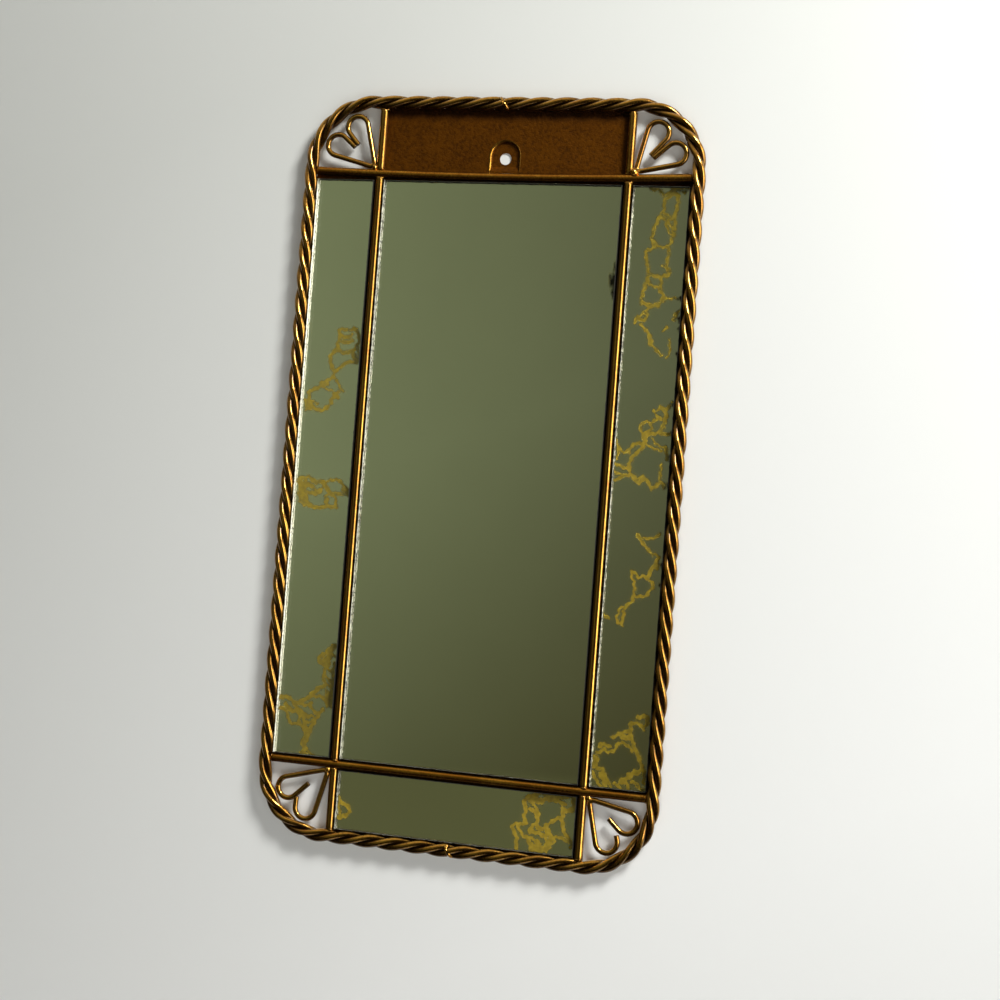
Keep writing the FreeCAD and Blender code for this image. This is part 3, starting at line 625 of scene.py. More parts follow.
def rope():
    """Axis and radius of the rim from its strands' boxes: left, right, bottom, top, depth, radius."""
    boxes = [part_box(f"{side}_rim_strand_{letter}") for side in SIDES for letter in STRANDS]
    low = np.min([box[0] for box in boxes], axis=0)
    high = np.max([box[1] for box in boxes], axis=0)
    radius = strand_offset() + bpy.context.scene.mirror_rim.strand_diameter / 2
    depth = (low[1] + high[1]) / 2
    return low[0] + radius, high[0] - radius, low[2] + radius, high[2] - radius, depth, radius


def rim_half(side, along):
    """Half of the rim's axis at given lengths from the top seam: points, headings and ways in.

    A straight run, a quarter circle, the long side, and the same again the other way round.
    """
    left, right, bottom, top, depth, _ = rope()
    bend = bpy.context.scene.mirror_rim.corner_radius
    middle = (left + right) / 2
    run = (right - left) / 2 - bend
    quarter = bend * math.pi / 2
    height = top - bottom - 2 * bend
    total = 2 * run + 2 * quarter + height
    far = along > total / 2
    near = np.where(far, total - along, along)
    turn = np.clip((near - run) / bend, 0, math.pi / 2)
    out = np.minimum(near, run) + bend * np.sin(turn)
    down = bend * (1 - np.cos(turn)) + np.clip(near - run - quarter, 0, None)
    down = np.where(far, top - bottom - down, down)
    turn = np.where(far, math.pi - turn, turn)
    flat = np.zeros_like(turn)
    points = np.stack([middle + side * out, flat + depth, top - down], axis=-1)
    heading = np.stack([side * np.cos(turn), flat, -np.sin(turn)], axis=-1)
    inward = np.stack([-side * np.sin(turn), flat, -np.cos(turn)], axis=-1)
    return points, heading, inward


def rim_length():
    """Length of half of the rim's axis."""
    left, right, bottom, top, _, _ = rope()
    bend = bpy.context.scene.mirror_rim.corner_radius
    return (right - left) + (top - bottom) - 4 * bend + math.pi * bend


def rim_strand(side_name, letter):
    """One wire of a half rim: a helix round the rim's axis, cut upright at the two seams.

    Its centre is the axis + offset * (inward * cos + front * sin), turning once in each pitch.
    """
    settings = bpy.context.scene.mirror_rim
    side = SIDES[side_name]
    along = np.linspace(0, rim_length(), RIM_STATIONS)
    points, _, inward = rim_half(side, along)
    start = settings.left_twist if side < 0 else settings.right_twist
    pitch = settings.left_pitch if side < 0 else settings.right_pitch
    number = STRANDS.index(letter)
    angle = start + 2 * np.pi * (number / len(STRANDS) + side * along / pitch)
    radial = inward * np.cos(angle)[:, None] + FRONT * np.sin(angle)[:, None]
    centres = points + radial * strand_offset()
    tangent = unit(np.gradient(centres, along, axis=0))
    first = unit(radial - tangent * np.sum(radial * tangent, axis=1, keepdims=True))
    second = np.cross(tangent, first)
    seed = 3 + 3 * (side > 0) + number
    uneven = wander(along, seed, 0.061, 0.023, 0.011) * settings.unevenness
    radii = settings.strand_diameter / 2 * (1 - settings.unevenness + uneven)
    verts, faces, ring, turns = tube(centres, first, second, radii, RIM_SIDES)
    # Near a seam the rings lean until the last one lies in the seam's plane.
    to_seam = np.minimum(along, along[-1] - along)[ring]
    lean = np.clip(1 - to_seam / SEAM_LEAN, 0, 1)
    across = verts[:, 0] - centres[ring, 0]
    verts = verts - tangent[ring] * (lean * across / safe(tangent[ring, 0]))[:, None]
    # Darkening of the wire: towards the other wires it is partly glaze in the grooves and partly painted
    # shade; on the side facing the wall and on the rim's lower half it is painted shade.
    away = np.abs((turns + np.pi) % (2 * np.pi) - np.pi)
    groove_glaze_and_shade = np.clip((away - 0.8) / 0.75, 0, 1)
    to_wall = (verts[:, 1] - centres[ring, 1]) / radii[ring]
    below = (points[ring, 2] - verts[:, 2]) / rope()[-1]
    glaze = [groove_glaze_and_shade, np.clip((to_wall - 0.35) / 0.4, 0, 1), painted_underside_shade(below)]
    return verts, faces, np.max(glaze, axis=0)


def painted_underside_shade(below):
    """Painted shade under a wire, from the share of its radius that a place lies below the axis."""
    return np.clip((below + 0.12) / 0.55, 0, 1) * 0.95


def safe(numbers):
    """Numbers kept away from nought, for a division."""
    return np.where(np.abs(numbers) < 0.2, np.copysign(0.2, numbers), numbers)


# Rods, hearts and welds

def flat_wire(points, along, radius, rounding, seed, sides=ROD_SIDES):
    """A round wire along a path in the mirror's plane, with its ends' edges rounded.

    A ring's first direction is to the front, and its second lies in the plane across the path.
    """
    tangent = unit(np.gradient(points, along, axis=0))
    first = np.tile(FRONT, (len(points), 1))
    second = np.cross(tangent, first)
    length = along[-1]
    uneven = wander(along, seed, 0.083, 0.031, 0.013) * ROD_UNEVENNESS
    radii = end_radius(along, length, radius * (1 - ROD_UNEVENNESS), rounding) * (1 + uneven)
    verts, faces, ring, turns = tube(points, first, second, radii, sides)
    # Darkening of the wire: painted shade on its sides and back and below its axis; it is also darker near
    # its ends.
    to_end = np.minimum(along, length - along)[ring]
    behind = np.clip((0.45 - np.cos(turns)) / 0.55, 0, 1)
    below = (points[ring, 2] - verts[:, 2]) / radius
    glaze = [np.exp(-to_end / (1.6 * MM)) * 0.9, behind, painted_underside_shade(below)]
    return verts, faces, np.max(glaze, axis=0)


def straight_rod(node, axis):
    """A rod along X or Z that fills its node's box from end to end."""
    low, high = (np.array(corner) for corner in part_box(node))
    middle = (low + high) / 2
    radius = np.min((high - low)[1:] if axis == 0 else (high - low)[:2]) / 2
    rounding = bpy.context.scene.mirror_wires.end_rounding
    along = end_steps(high[axis] - low[axis], ROD_STEP, rounding)
    points = np.tile(middle, (len(along), 1))
    points[:, axis] = low[axis] + along
    return flat_wire(points, along, radius, rounding, len(node))


def bowed_height(across):
    """Height of the upper crossbar's axis: an arc that hangs lowest in the middle."""
    left, right, _, _, _, _ = rope()
    low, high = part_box("upper_crossbar")
    radius = bpy.context.scene.mirror_wires.bow_radius
    lowest = low.z + (high.y - low.y) / 2
    return lowest + radius - np.sqrt(radius ** 2 - (across - (left + right) / 2) ** 2)


def bar_height(rise, across):
    """Height of the upper or the lower crossbar's axis at a place across."""
    if rise > 0:
        return float(bowed_height(across))
    low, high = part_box("lower_crossbar")
    return (low.z + high.z) / 2


def upright_axis(side):
    """An upright's place across, its depth and its radius."""
    low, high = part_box(f"{'left' if side < 0 else 'right'}_upright")
    return (low.x + high.x) / 2, (low.y + high.y) / 2, (high.x - low.x) / 2


def bowed_rod():
    """The upper crossbar: a rod along the bow, from rim to rim."""
    low, high = (np.array(corner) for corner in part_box("upper_crossbar"))
    rounding = bpy.context.scene.mirror_wires.end_rounding
    along = end_steps(high[0] - low[0], ROD_STEP, rounding)
    across = low[0] + along
    points = np.stack([across, np.full_like(across, (low[1] + high[1]) / 2), bowed_height(across)], axis=-1)
    return flat_wire(points, along, (high[1] - low[1]) / 2, rounding, 5)


def heart_path(node, side, rise):
    """A heart's bent line, worked out in runs outward from the crossing along X and Z.

    Tail, lobe, side, point, side, lobe and tail, as straight lines and arcs that touch.
    """
    settings = bpy.context.scene.mirror_wires
    left, right, bottom, top, _, rope_radius = rope()
    bend = bpy.context.scene.mirror_rim.corner_radius
    across, depth, rod_radius = upright_axis(side)
    wire = settings.heart_wire / 2
    clear = settings.tip_radius + wire + rod_radius + settings.weld_gap
    bar = bar_height(rise, across + side * clear)
    tip = clear * (1 + 1j)
    reach_across = abs((left if side < 0 else right) - across) - bend
    reach_up = abs((top if rise > 0 else bottom) - bar) - bend
    corner = complex(reach_across, reach_up)
    seat = bend - rope_radius - settings.weld_gap - wire - settings.lobe_radius
    diagonal = math.pi / 4
    lobe_radius = settings.lobe_radius

    def polar(angle):
        return np.exp(1j * np.asarray(angle))

    def half(turn, share, lean):
        """A lobe that touches the rim's bend, with its tail back beside the middle line, leaning in."""
        off = turn * (lobe_radius + wire + settings.tail_gap / 2)
        turned = corner * np.conj(polar(diagonal))
        lobe = polar(diagonal) * complex(turned.real + math.sqrt(seat ** 2 - (off - turned.imag) ** 2), off)
        run = lobe - tip
        side_angle = np.angle(run) + turn * math.acos((settings.tip_radius - lobe_radius) / abs(run))
        heading = diagonal + turn * math.radians(lean)
        tail_angle = heading - turn * math.pi / 2
        tail = lobe + polar(tail_angle) * lobe_radius
        return lobe, side_angle, tail_angle, tail, tail - polar(heading) * settings.tail_length * share

    def line(start, end, count):
        return start + (end - start) * np.linspace(0, 1, count, endpoint=False)

    def arc(centre, radius, start, end, count):
        return centre + polar(np.linspace(start, end, count, endpoint=False)) * radius

    stub_tail, bar_tail = TAILS[node]
    lobe_a, side_a, tail_angle_a, tail_a, end_a = half(1, *stub_tail)
    lobe_b, side_b, tail_angle_b, tail_b, end_b = half(-1, *bar_tail)
    tip_radius = settings.tip_radius
    local = np.concatenate([
        line(end_b, tail_b, 16),
        arc(lobe_b, lobe_radius, tail_angle_b, side_b, 34),
        line(lobe_b + polar(side_b) * lobe_radius, tip + polar(side_b) * tip_radius, 22),
        arc(tip, tip_radius, side_b, side_a - 2 * math.pi, 22),
        line(tip + polar(side_a) * tip_radius, lobe_a + polar(side_a) * lobe_radius, 22),
        arc(lobe_a, lobe_radius, side_a, tail_angle_a, 34),
        line(tail_a, end_a, 16),
        [end_a],
    ])
    level = np.full(len(local), depth)
    coarse = np.stack([across + side * local.real, level, bar + rise * local.imag], axis=-1)
    reached = travelled(coarse)
    along = end_steps(reached[-1], HEART_STEP, settings.end_rounding)
    points = np.stack([np.interp(along, reached, coarse[:, axis]) for axis in range(3)], axis=-1)
    return points, along


def bead(centre, radii, glaze, seed):
    """A weld bead: a lumpy ball, its radius a sum of a few slow waves over its two angles."""
    across, up = np.meshgrid(
        np.linspace(0, 2 * np.pi, BEAD_SIDES, endpoint=False), np.linspace(0, np.pi, BEAD_ROWS + 2)[1:-1])
    phase = np.random.default_rng(seed).uniform(0, 2 * np.pi, 4)
    lump = 1 + 0.10 * np.sin(2 * across + phase[0]) * np.sin(up)
    lump += 0.07 * np.sin(3 * across + phase[1]) * np.sin(2 * up + phase[2])
    lump += 0.06 * np.cos(2 * up + phase[3])
    ball = np.stack([np.cos(across) * np.sin(up), np.sin(across) * np.sin(up), np.cos(up)], axis=-1)
    rings = np.asarray(centre) + ball * lump[..., None] * np.asarray(radii)
    poles = np.asarray(centre) + np.array(((0, 0, 1), (0, 0, -1))) * np.asarray(radii)
    verts = np.concatenate([rings.reshape(-1, 3), poles])
    # The rows run downwards, against a tube's, so each face is turned over.
    faces = [face[:1] + face[:0:-1] for face in capped_rings(*across.shape)]
    return verts, faces, np.full(len(verts), glaze)


def weld_places():
    """Centres, radii and dark glaze of the beads: heart points, crossings, rod ends at the rim."""
    size = bpy.context.scene.mirror_wires.weld_size
    places = []

    def add(kind, centre, grown=1.0):
        """Notes one bead, grown from its kind's common size."""
        shares, glaze = BEADS[kind]
        places.append((centre, [share * grown * size for share in shares], glaze))

    for side_name, side in SIDES.items():
        across, depth, radius = upright_axis(side)
        for level, rise in LEVELS.items():
            bar = bar_height(rise, across)
            grown, forward = (1.3, 1.15) if side > 0 and rise > 0 else (1.0, 0.45)
            beyond = radius + 0.6 * size
            add("heart", (across + side * beyond, depth - forward * size, bar + rise * beyond), grown)
            for height in (bar + rise * radius, bar - rise * radius):
                add("crossing", (across, depth - 0.1 * size, height))
            low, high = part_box(f"{level}_{side_name}_stub")
            add("stub", (across, depth, high.z if rise > 0 else low.z))
        for level, rise in LEVELS.items():
            low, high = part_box(f"{level}_crossbar")
            end = low.x if side < 0 else high.x
            add("bar", (end, depth, bar_height(rise, end)))
    return places


def seam_end(height):
    """The last turn of wire at a seam: an arc over the rim's front that leans against the twist.

    Its centre is the axis + radius * (front * cos + up * sin), drawn to the left as it rises.
    """
    settings = bpy.context.scene.mirror_rim
    left, right, _, _, depth, rope_radius = rope()
    thick = settings.strand_diameter / 4
    turn = np.linspace(-SEAM_TURN, SEAM_TURN, SEAM_STATIONS)
    radial = FRONT * np.cos(turn)[:, None] + np.array((0, 0, 1)) * np.sin(turn)[:, None]
    centres = np.array(((left + right) / 2, depth, height)) + radial * (rope_radius - 1.02 * thick)
    centres[:, 0] -= SEAM_DRIFT * np.sin(turn * 0.85)
    along = travelled(centres)
    tangent = unit(np.gradient(centres, along, axis=0))
    first = unit(radial - tangent * np.sum(radial * tangent, axis=1, keepdims=True))
    radii = end_radius(along, along[-1], thick, 0.8 * thick)
    verts, faces, _, turns = tube(centres, first, np.cross(tangent, first), radii, SEAM_SIDES)
    # Painted shade: the wire end is darkened on its sides and on the side that lies against the rim.
    return verts, faces, np.clip((0.5 - np.cos(turns)) / 0.5, 0, 1)


# Back sheet

def arch_lip():
    """The rounding of the pressed arch: a profile carried up one side, over the crown and down.

    The profile is a quarter ellipse from the sheet's front in to the floor, closed inside the metal.
    """
    settings = bpy.context.scene.mirror_sheet
    low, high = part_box("back_sheet")
    deep = high.y - settings.thickness - low.y
    half, spring = settings.arch_half, settings.arch_spring
    rise = np.linspace(-0.96 * settings.arch_foot, spring, LIP_RISE + 1)[:-1]
    turn = np.linspace(np.pi, 0, LIP_CROWN)
    ones = np.ones(LIP_RISE)
    across = np.concatenate([-half * ones, half * np.cos(turn), half * ones])
    up = np.concatenate([rise, spring + half * np.sin(turn), rise[::-1]])
    inward_x = np.concatenate([ones, -np.cos(turn), -ones])
    inward_z = np.concatenate([0 * ones, -np.sin(turn), 0 * ones])
    share = np.clip((up + settings.arch_foot) / (settings.arch_foot - settings.arch_flat), 0, 1)
    step = np.linspace(0, np.pi / 2, LIP_STEPS)
    inset = np.concatenate([[-LIP_LAP], settings.lip * np.sin(step), [settings.lip, -LIP_LAP]])
    depth = np.concatenate([[0], deep * (1 - np.cos(step)), [deep, deep]])
    sunk = np.concatenate([np.full(LIP_STEPS + 1, -LIP_PROUD), [LIP_SUNK, LIP_SUNK]])
    width = inset * np.sqrt(share)[:, None]
    verts = np.stack([
        across[:, None] + inward_x[:, None] * width,
        low.y + depth * share[:, None] + sunk,
        up[:, None] + inward_z[:, None] * width,
    ], axis=-1)
    count, sides = width.shape
    index = np.arange(count * sides).reshape(count, sides)
    faces = ring_faces(index).tolist() + [index[0, ::-1].tolist(), index[-1].tolist()]
    # Painted light: the lip's left side and the left of its crown, which face the lamp on the right, stay
    # bright towards the hollow; the right side and the rest of the crown are darkened as painted shade.
    rubbed = np.clip(inward_x, 0, 1)[:, None] * np.clip(0.4 + inset / settings.lip, 0, 1)
    return verts.reshape(-1, 3), faces, 1 - rubbed.ravel()


# Panes

def smooth_line(points):
    """A curve through points, each span a cubic whose slopes come from the points on either side."""
    padded = np.concatenate([2 * points[:1] - points[1:2], points, 2 * points[-1:] - points[-2:-1]])
    before, start, end, after = padded[:-3, None], padded[1:-2, None], padded[2:-1, None], padded[3:, None]
    share = np.linspace(0, 1, 12)[None, :, None]
    spans = 0.5 * (
        2 * start + (end - before) * share + (2 * before - 5 * start + 4 * end - after) * share ** 2
        + (3 * start - before - 3 * end + after) * share ** 3)
    return spans.reshape(-1, 2)


def bar_middle():
    """Height half-way between the crossbars."""
    low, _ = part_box("upper_crossbar")
    bar_low, bar_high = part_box("lower_crossbar")
    return (low.z + (bar_high.z - bar_low.z) / 2 + (bar_low.z + bar_high.z) / 2) / 2


def vein_mask(name, across, up):
    """How much of a vein covers each point: 1 within its width, falling to 0 at its edge.

    The points are first moved by a few small sines, so that the veins' edges wander.
    """
    right, rise = across / MM, up / MM
    x = right + 0.34 * np.sin(rise * 1.31 + 0.4) + 0.2 * np.sin(rise * 2.9 + right * 1.7)
    z = (up - bar_middle()) / MM + 0.34 * np.sin(right * 1.43 + 1.1) + 0.2 * np.sin(right * 3.1 - rise * 1.3)
    mask = np.zeros_like(x)
    for width, *numbers in VEINS[name]:
        line = smooth_line(np.array(numbers, float).reshape(-1, 2))
        close = (x > line[:, 0].min() - 4) & (x < line[:, 0].max() + 4)
        close &= (z > line[:, 1].min() - 4) & (z < line[:, 1].max() + 4)
        gap = np.hypot(x[close, None] - line[:, 0], z[close, None] - line[:, 1]).min(axis=1)
        thick = width / 2 * (1 + 0.22 * np.sin(x[close] * 0.9 + z[close] * 0.7))
        mask[close] = np.maximum(mask[close], np.clip((thick - gap) / 1.3 + 0.8, 0, 1))
    return mask


def loss_mask(name, across, up):
    """How far the silver has gone: soft ragged ovals, and a thin line all round the edge."""
    low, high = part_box(name)
    x, z = across / MM, (up - bar_middle()) / MM
    ragged = 0.35 * np.sin(x * 1.9 + z * 0.8) + 0.35 * np.sin(z * 1.7 - x * 1.1 + 2) + 0.2 * np.sin(z * 4.3)
    mask = np.zeros_like(x)
    for middle_x, middle_z, wide, tall in SILVER_LOSS[name]:
        far = np.hypot((x - middle_x) / (wide / 2), (z - middle_z) / (tall / 2))
        mask = np.maximum(mask, np.clip((1.15 + ragged * 0.5 - far) / 0.5, 0, 1))
    to_edge = np.minimum.reduce([across - low.x, high.x - across, up - low.z, high.z - up]) / MM
    line = np.clip((0.75 + 0.3 * ragged - to_edge) / 0.4, 0, 1)
    return np.maximum(mask, line * 0.8)


def pane_stations(low, high, fine, coarse, margin):
    """Stations across a pane: close together near its two edges and wider apart between them."""
    near = np.linspace(0, margin, int(margin / fine) + 1)
    between = np.linspace(low + margin, high - margin, max(2, int((high - low - 2 * margin) / coarse) + 1))
    return np.concatenate([low + near, between[1:-1], (high - near)[::-1]])


def pane(name):
    """A slab of glass: a silvered grid at the back, a flat front, and a cut edge between them.

    The edge is a profile carried round the grid's outline: back arris, ground side, front arris.
    The arrises wander and are bitten here and there by chips.
    """
    settings = bpy.context.scene.mirror_panes
    low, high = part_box(name)
    coarse = VEIN_STEP if VEINS[name] else PLAIN_STEP
    inset = settings.arris
    xs = pane_stations(low.x + inset, high.x - inset, VEIN_STEP, coarse, EDGE_MARGIN)
    zs = pane_stations(low.z + inset, high.z - inset, VEIN_STEP, coarse, EDGE_MARGIN)
    across, up = np.meshgrid(xs, zs)
    back = np.stack([across, np.full_like(across, high.y - 0.05 * MM), up], axis=-1).reshape(-1, 3)
    rows, columns = across.shape
    index = np.arange(rows * columns).reshape(rows, columns)
    grid = grid_faces(index)
    outline = np.concatenate([index[0, :-1], index[:-1, -1], index[-1, :0:-1], index[:0:-1, 0]])
    centre = np.array(((low.x + high.x) / 2, 0, (low.z + high.z) / 2))
    ring = back[outline]
    along = travelled(ring)
    half = np.array((high.x - low.x, 0, high.z - low.z)) / 2
    offset = ring - centre
    at_side = np.abs(np.abs(offset[:, 0]) - (half[0] - inset)) < 1e-7
    at_end = np.abs(np.abs(offset[:, 2]) - (half[2] - inset)) < 1e-7
    outward = np.sign(offset) * np.stack([at_side, np.zeros(len(ring)), at_end], axis=-1)
    seed = len(name)
    chipped = wander(along, seed, 0.0071, 0.0029, 0.0043, 0.0113) * 2.2 - 0.55
    bite = np.clip(chipped, 0, 1) * settings.chips
    worn = inset * (0.75 + 0.25 * wander(along, seed + 9, 0.004, 0.0017)) + bite
    side_ring = centre + outward * half + (offset * (1 - np.abs(outward)))
    side_ring[:, 1] = high.y - 0.25 * MM
    front_side = side_ring.copy()
    front_side[:, 1] = low.y + worn
    front_ring = side_ring - outward * worn[:, None]
    front_ring[:, 1] = low.y
    count = len(outline)
    rings = np.stack([outline, *(rows * columns + np.arange(3 * count).reshape(3, count))])
    edge = ring_faces(rings)
    verts = np.concatenate([back, side_ring, front_side, front_ring])
    faces = grid.tolist() + edge.tolist() + [rings[-1].tolist()]
    slots = np.concatenate([np.full(len(grid), 2), np.full(3 * count, 1), [0]])
    # Painted light and shade on the cut edge: pale on the left, nearly dark at the bottom, dark on the right
    # and at the top.
    pale, whole = EDGE_LIGHT[name]
    ground = np.where(outward[:, 0] < 0, pale, np.where(outward[:, 2] < 0, 0.08, 0.0))
    values = {
        "vein": np.concatenate([vein_mask(name, back[:, 0], back[:, 2]), np.zeros(3 * count)]),
        "loss": np.concatenate([loss_mask(name, back[:, 0], back[:, 2]), np.zeros(3 * count)]),
        "ground": np.concatenate([np.zeros(len(back)), np.tile(ground, 3)]),
        "whole": np.full(len(verts), whole),
    }
    return verts, faces, slots, values


# Materials

class Tree:
    """A short way to add nodes to a shader tree and link them."""

    def __init__(self, tree):
        self.tree = tree

    def node(self, kind, **inputs):
        """Adds a node; a socket links to an input, a plain value sets it, other names set the node."""
        node = self.tree.nodes.new(f"ShaderNode{kind}")
        for key, value in inputs.items():
            socket = node.inputs.get(key.replace("_", " ").title())
            if socket is None:
                setattr(node, key, value)
            else:
                self.feed(socket, value)
        return node

    def feed(self, socket, value):
        """Links a socket, or sets its value."""
        if isinstance(value, bpy.types.NodeSocket):
            self.tree.links.new(value, socket)
        else:
            socket.default_value = value

    def give(self, node, values):
        """Links or sets several inputs of a node, by their names."""
        for name, value in values.items():
            self.feed(node.inputs[name], value)

    def where(self):
        """The place on the object."""
        return self.node("TexCoord").outputs["Object"]

    def axes(self):
        """The place on the object across, deep and up."""
        return self.node("SeparateXYZ", vector=self.where()).outputs

    def attribute(self, name):
        """A value that the mesh carries on its points."""
        return self.node("Attribute", attribute_name=name).outputs["Fac"]

    def noise(self, where, scale, detail=4.0, roughness=0.55):
        """Noise on a place; gives its value."""
        return self.node("TexNoise", vector=where, scale=scale, detail=detail, roughness=roughness).outputs[0]

    def spread(self, value, low, high, start=0.0, end=1.0):
        """A value taken from one range to another and kept in it."""
        node = self.node("MapRange", clamp=True)
        for number, setting in enumerate((value, low, high, start, end)):
            self.feed(node.inputs[number], setting)
        return node.outputs[0]

    def math(self, operation, first, second=0.0):
        """A sum, product or other step on two values."""
        node = self.node("Math", operation=operation)
        self.feed(node.inputs[0], first)
        self.feed(node.inputs[1], second)
        return node.outputs[0]

    def mix(self, share, first, second):
        """A colour between two colours."""
        node = self.node("Mix", data_type="RGBA")
        for number, setting in ((0, share), (6, first), (7, second)):
            self.feed(node.inputs[number], setting)
        return node.outputs[2]

    def blend(self, share, first, second, output):
        """A mix of two shaders, put out as the material's surface."""
        node = self.node("MixShader")
        for number, setting in enumerate((share, first.outputs[0], second.outputs[0])):
            self.feed(node.inputs[number], setting)
        self.feed(output.inputs["Surface"], node.outputs[0])

    def seen(self):
        """One on rays that show a thing straight, by gloss or through glass, and nought on others."""
        path = self.node("LightPath")
        shown = self.math("MAXIMUM", path.outputs["Is Glossy Ray"], path.outputs["Is Transmission Ray"])
        return self.math("MAXIMUM", path.outputs["Is Camera Ray"], shown)


def rgba(colour):
    """A colour with full alpha."""
    return (*colour, 1.0)


def gilt_group():
    """Gold paint over a dark ground: bright and dull paint, darkening that is partly glaze in the hollows and
    partly painted shade, and grain.

    Clouds are faint noise of about 20 mm, grain is noise of the given scale and flecks are half of that.
    """
    group = bpy.data.node_groups.get("Gilt over umber")
    if group:
        return group
    group = bpy.data.node_groups.new("Gilt over umber", "ShaderNodeTree")
    sockets = {
        "INPUT": (("Bright", "Color"), ("Dull", "Color"), ("Glaze", "Color"),
                  ("Glaze and shade", "Float"), ("Wear", "Float"), ("Scale", "Float")),
        "OUTPUT": (("Color", "Color"), ("Roughness", "Float"), ("Height", "Float")),
    }
    for way, rows in sockets.items():
        for name, kind in rows:
            group.interface.new_socket(name=name, in_out=way, socket_type=f"NodeSocket{kind}")
    tree = Tree(group)
    given = group.nodes.new("NodeGroupInput")
    result = group.nodes.new("NodeGroupOutput")
    where = tree.where()
    cloud = tree.noise(where, 50.0, 3.0, 0.5)
    grain = tree.noise(where, given.outputs["Scale"], 3.0, 0.6)
    fleck = tree.noise(where, tree.math("MULTIPLY", given.outputs["Scale"], 2.4), 2.0, 0.5)
    patch = tree.math("ADD", tree.math("MULTIPLY", cloud, 0.4), tree.math("MULTIPLY", grain, 0.6))
    bright = tree.spread(tree.math("ADD", patch, given.outputs["Wear"]), 0.36, 0.62)
    paint = tree.mix(bright, given.outputs["Dull"], given.outputs["Bright"])
    stain = tree.spread(grain, 0.34, 0.48, 0.35, 0.0)
    # Darkening as its input says: partly glaze, partly painted shade and painted shadow, broken up by the
    # grain.
    hollow = tree.math("MULTIPLY", given.outputs["Glaze and shade"], tree.spread(grain, 0.3, 0.65, 1.0, 0.75))
    glaze = tree.math("MAXIMUM", stain, hollow)
    colour = tree.mix(glaze, paint, given.outputs["Glaze"])
    rough = tree.math("ADD", tree.spread(grain, 0.3, 0.7, 0.09, 0.18), tree.math("MULTIPLY", glaze, 0.2))
    height = tree.math("ADD", tree.math("MULTIPLY", grain, 0.7), tree.math("MULTIPLY", fleck, 0.3))
    tree.give(result, {"Color": colour, "Roughness": rough, "Height": height})
    return group


def new_material(name):
    """An empty node material with its tree, shader and output."""
    material = bpy.data.materials.new(name)
    material.use_nodes = True
    nodes = material.node_tree.nodes
    return material, Tree(material.node_tree), nodes["Principled BSDF"], nodes["Material Output"]


def wire_glaze_and_shade(tree):
    """Where a wire is darkened, as its mesh says: partly glaze in its hollows and partly painted shade."""
    return tree.attribute("glaze_and_shade")


def painted_shadow_bands(tree):
    """Painted shadow on the sheet's front: a dark band under the rim at the top and one left of the stub on
    the right.
    """
    across, depth, up = tree.axes()
    _, _, _, top, _, radius = rope()
    rim = tree.spread(up, top - radius - 8 * MM, top - radius - 2 * MM)
    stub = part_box("upper_right_stub")[0].x
    edge = tree.math("MAXIMUM", rim, tree.spread(across, stub - 5 * MM, stub - 1 * MM, 0.0, 0.9))
    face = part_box("back_sheet")[0].y
    return tree.math("MULTIPLY", edge, tree.spread(depth, face + 0.5 * MM, face + 0.2 * MM))


def gilt_material(name):
    """Gold paint of one group of pieces, with the values that PAINTS gives it."""
    existing = bpy.data.materials.get(name)
    if existing:
        return existing
    finish = bpy.context.scene.mirror_finish
    wear, metallic, scale, relief, satin, varnish = PAINTS[name]
    bright, dull, hollows = finish.gold, finish.bronze, wire_glaze_and_shade
    # On the back sheet the darkening is painted shadow; on the wires it is glaze and painted shade.
    if name == "Sheet gilt":
        bright, dull, hollows = finish.sheet_gold, finish.sheet_brown, painted_shadow_bands
    material, tree, shader, _ = new_material(name)
    paint = material.node_tree.nodes.new("ShaderNodeGroup")
    paint.node_tree = gilt_group()
    tree.give(paint, {
        "Bright": rgba(bright),
        "Dull": rgba(dull),
        "Glaze": rgba(finish.umber),
        "Wear": wear,
        "Scale": scale,
        "Glaze and shade": hollows(tree),
    })
    bump = tree.node("Bump", strength=1.0, distance=relief * MM, height=paint.outputs["Height"])
    tree.give(shader, {
        "Base Color": paint.outputs["Color"],
        "Roughness": tree.math("ADD", paint.outputs["Roughness"], satin),
        "Normal": bump.outputs[0],
        "Metallic": metallic,
        "Specular IOR Level": 0.15,
        "Coat Weight": varnish,
        "Coat Roughness": 0.12,
    })
    return material


def glass_material():
    """Clear float glass of the panes' fronts; lamps shine through it to the silver's side."""
    material, tree, shader, output = new_material("Pane glass")
    tree.give(shader, {
        "Base Color": (0.97, 0.985, 0.965, 1),
        "Roughness": 0.0,
        "IOR": 1.5,
        "Transmission Weight": 1.0,
    })
    clear = tree.node("BsdfTransparent")
    tree.blend(tree.node("LightPath").outputs["Is Shadow Ray"], shader, clear, output)
    return material


def edge_material():
    """Cut edges of the glass: pale with nicks on the left edges, by an amount set per pane as painted light,
    and painted dark on the others as painted shade.
    """
    settings = bpy.context.scene.mirror_panes
    material, tree, shader, _ = new_material("Ground edge")
    rise = tree.math("MULTIPLY", tree.math("SUBTRACT", tree.attribute("whole"), 0.6), 0.3)
    nick = tree.spread(tree.math("ADD", tree.noise(tree.where(), 480.0, 2.0), rise), 0.50, 0.58, 0.15, 1.0)
    # Painted shade: the colour of the edges that are not lit.
    dark = rgba([0.03 * part for part in settings.ground_edge])
    ground = tree.math("MULTIPLY", nick, tree.attribute("ground"))
    tree.give(shader, {
        "Base Color": tree.mix(ground, dark, rgba(settings.ground_edge)),
        "Roughness": 0.6,
        "Specular IOR Level": 0.1,
    })
    return material


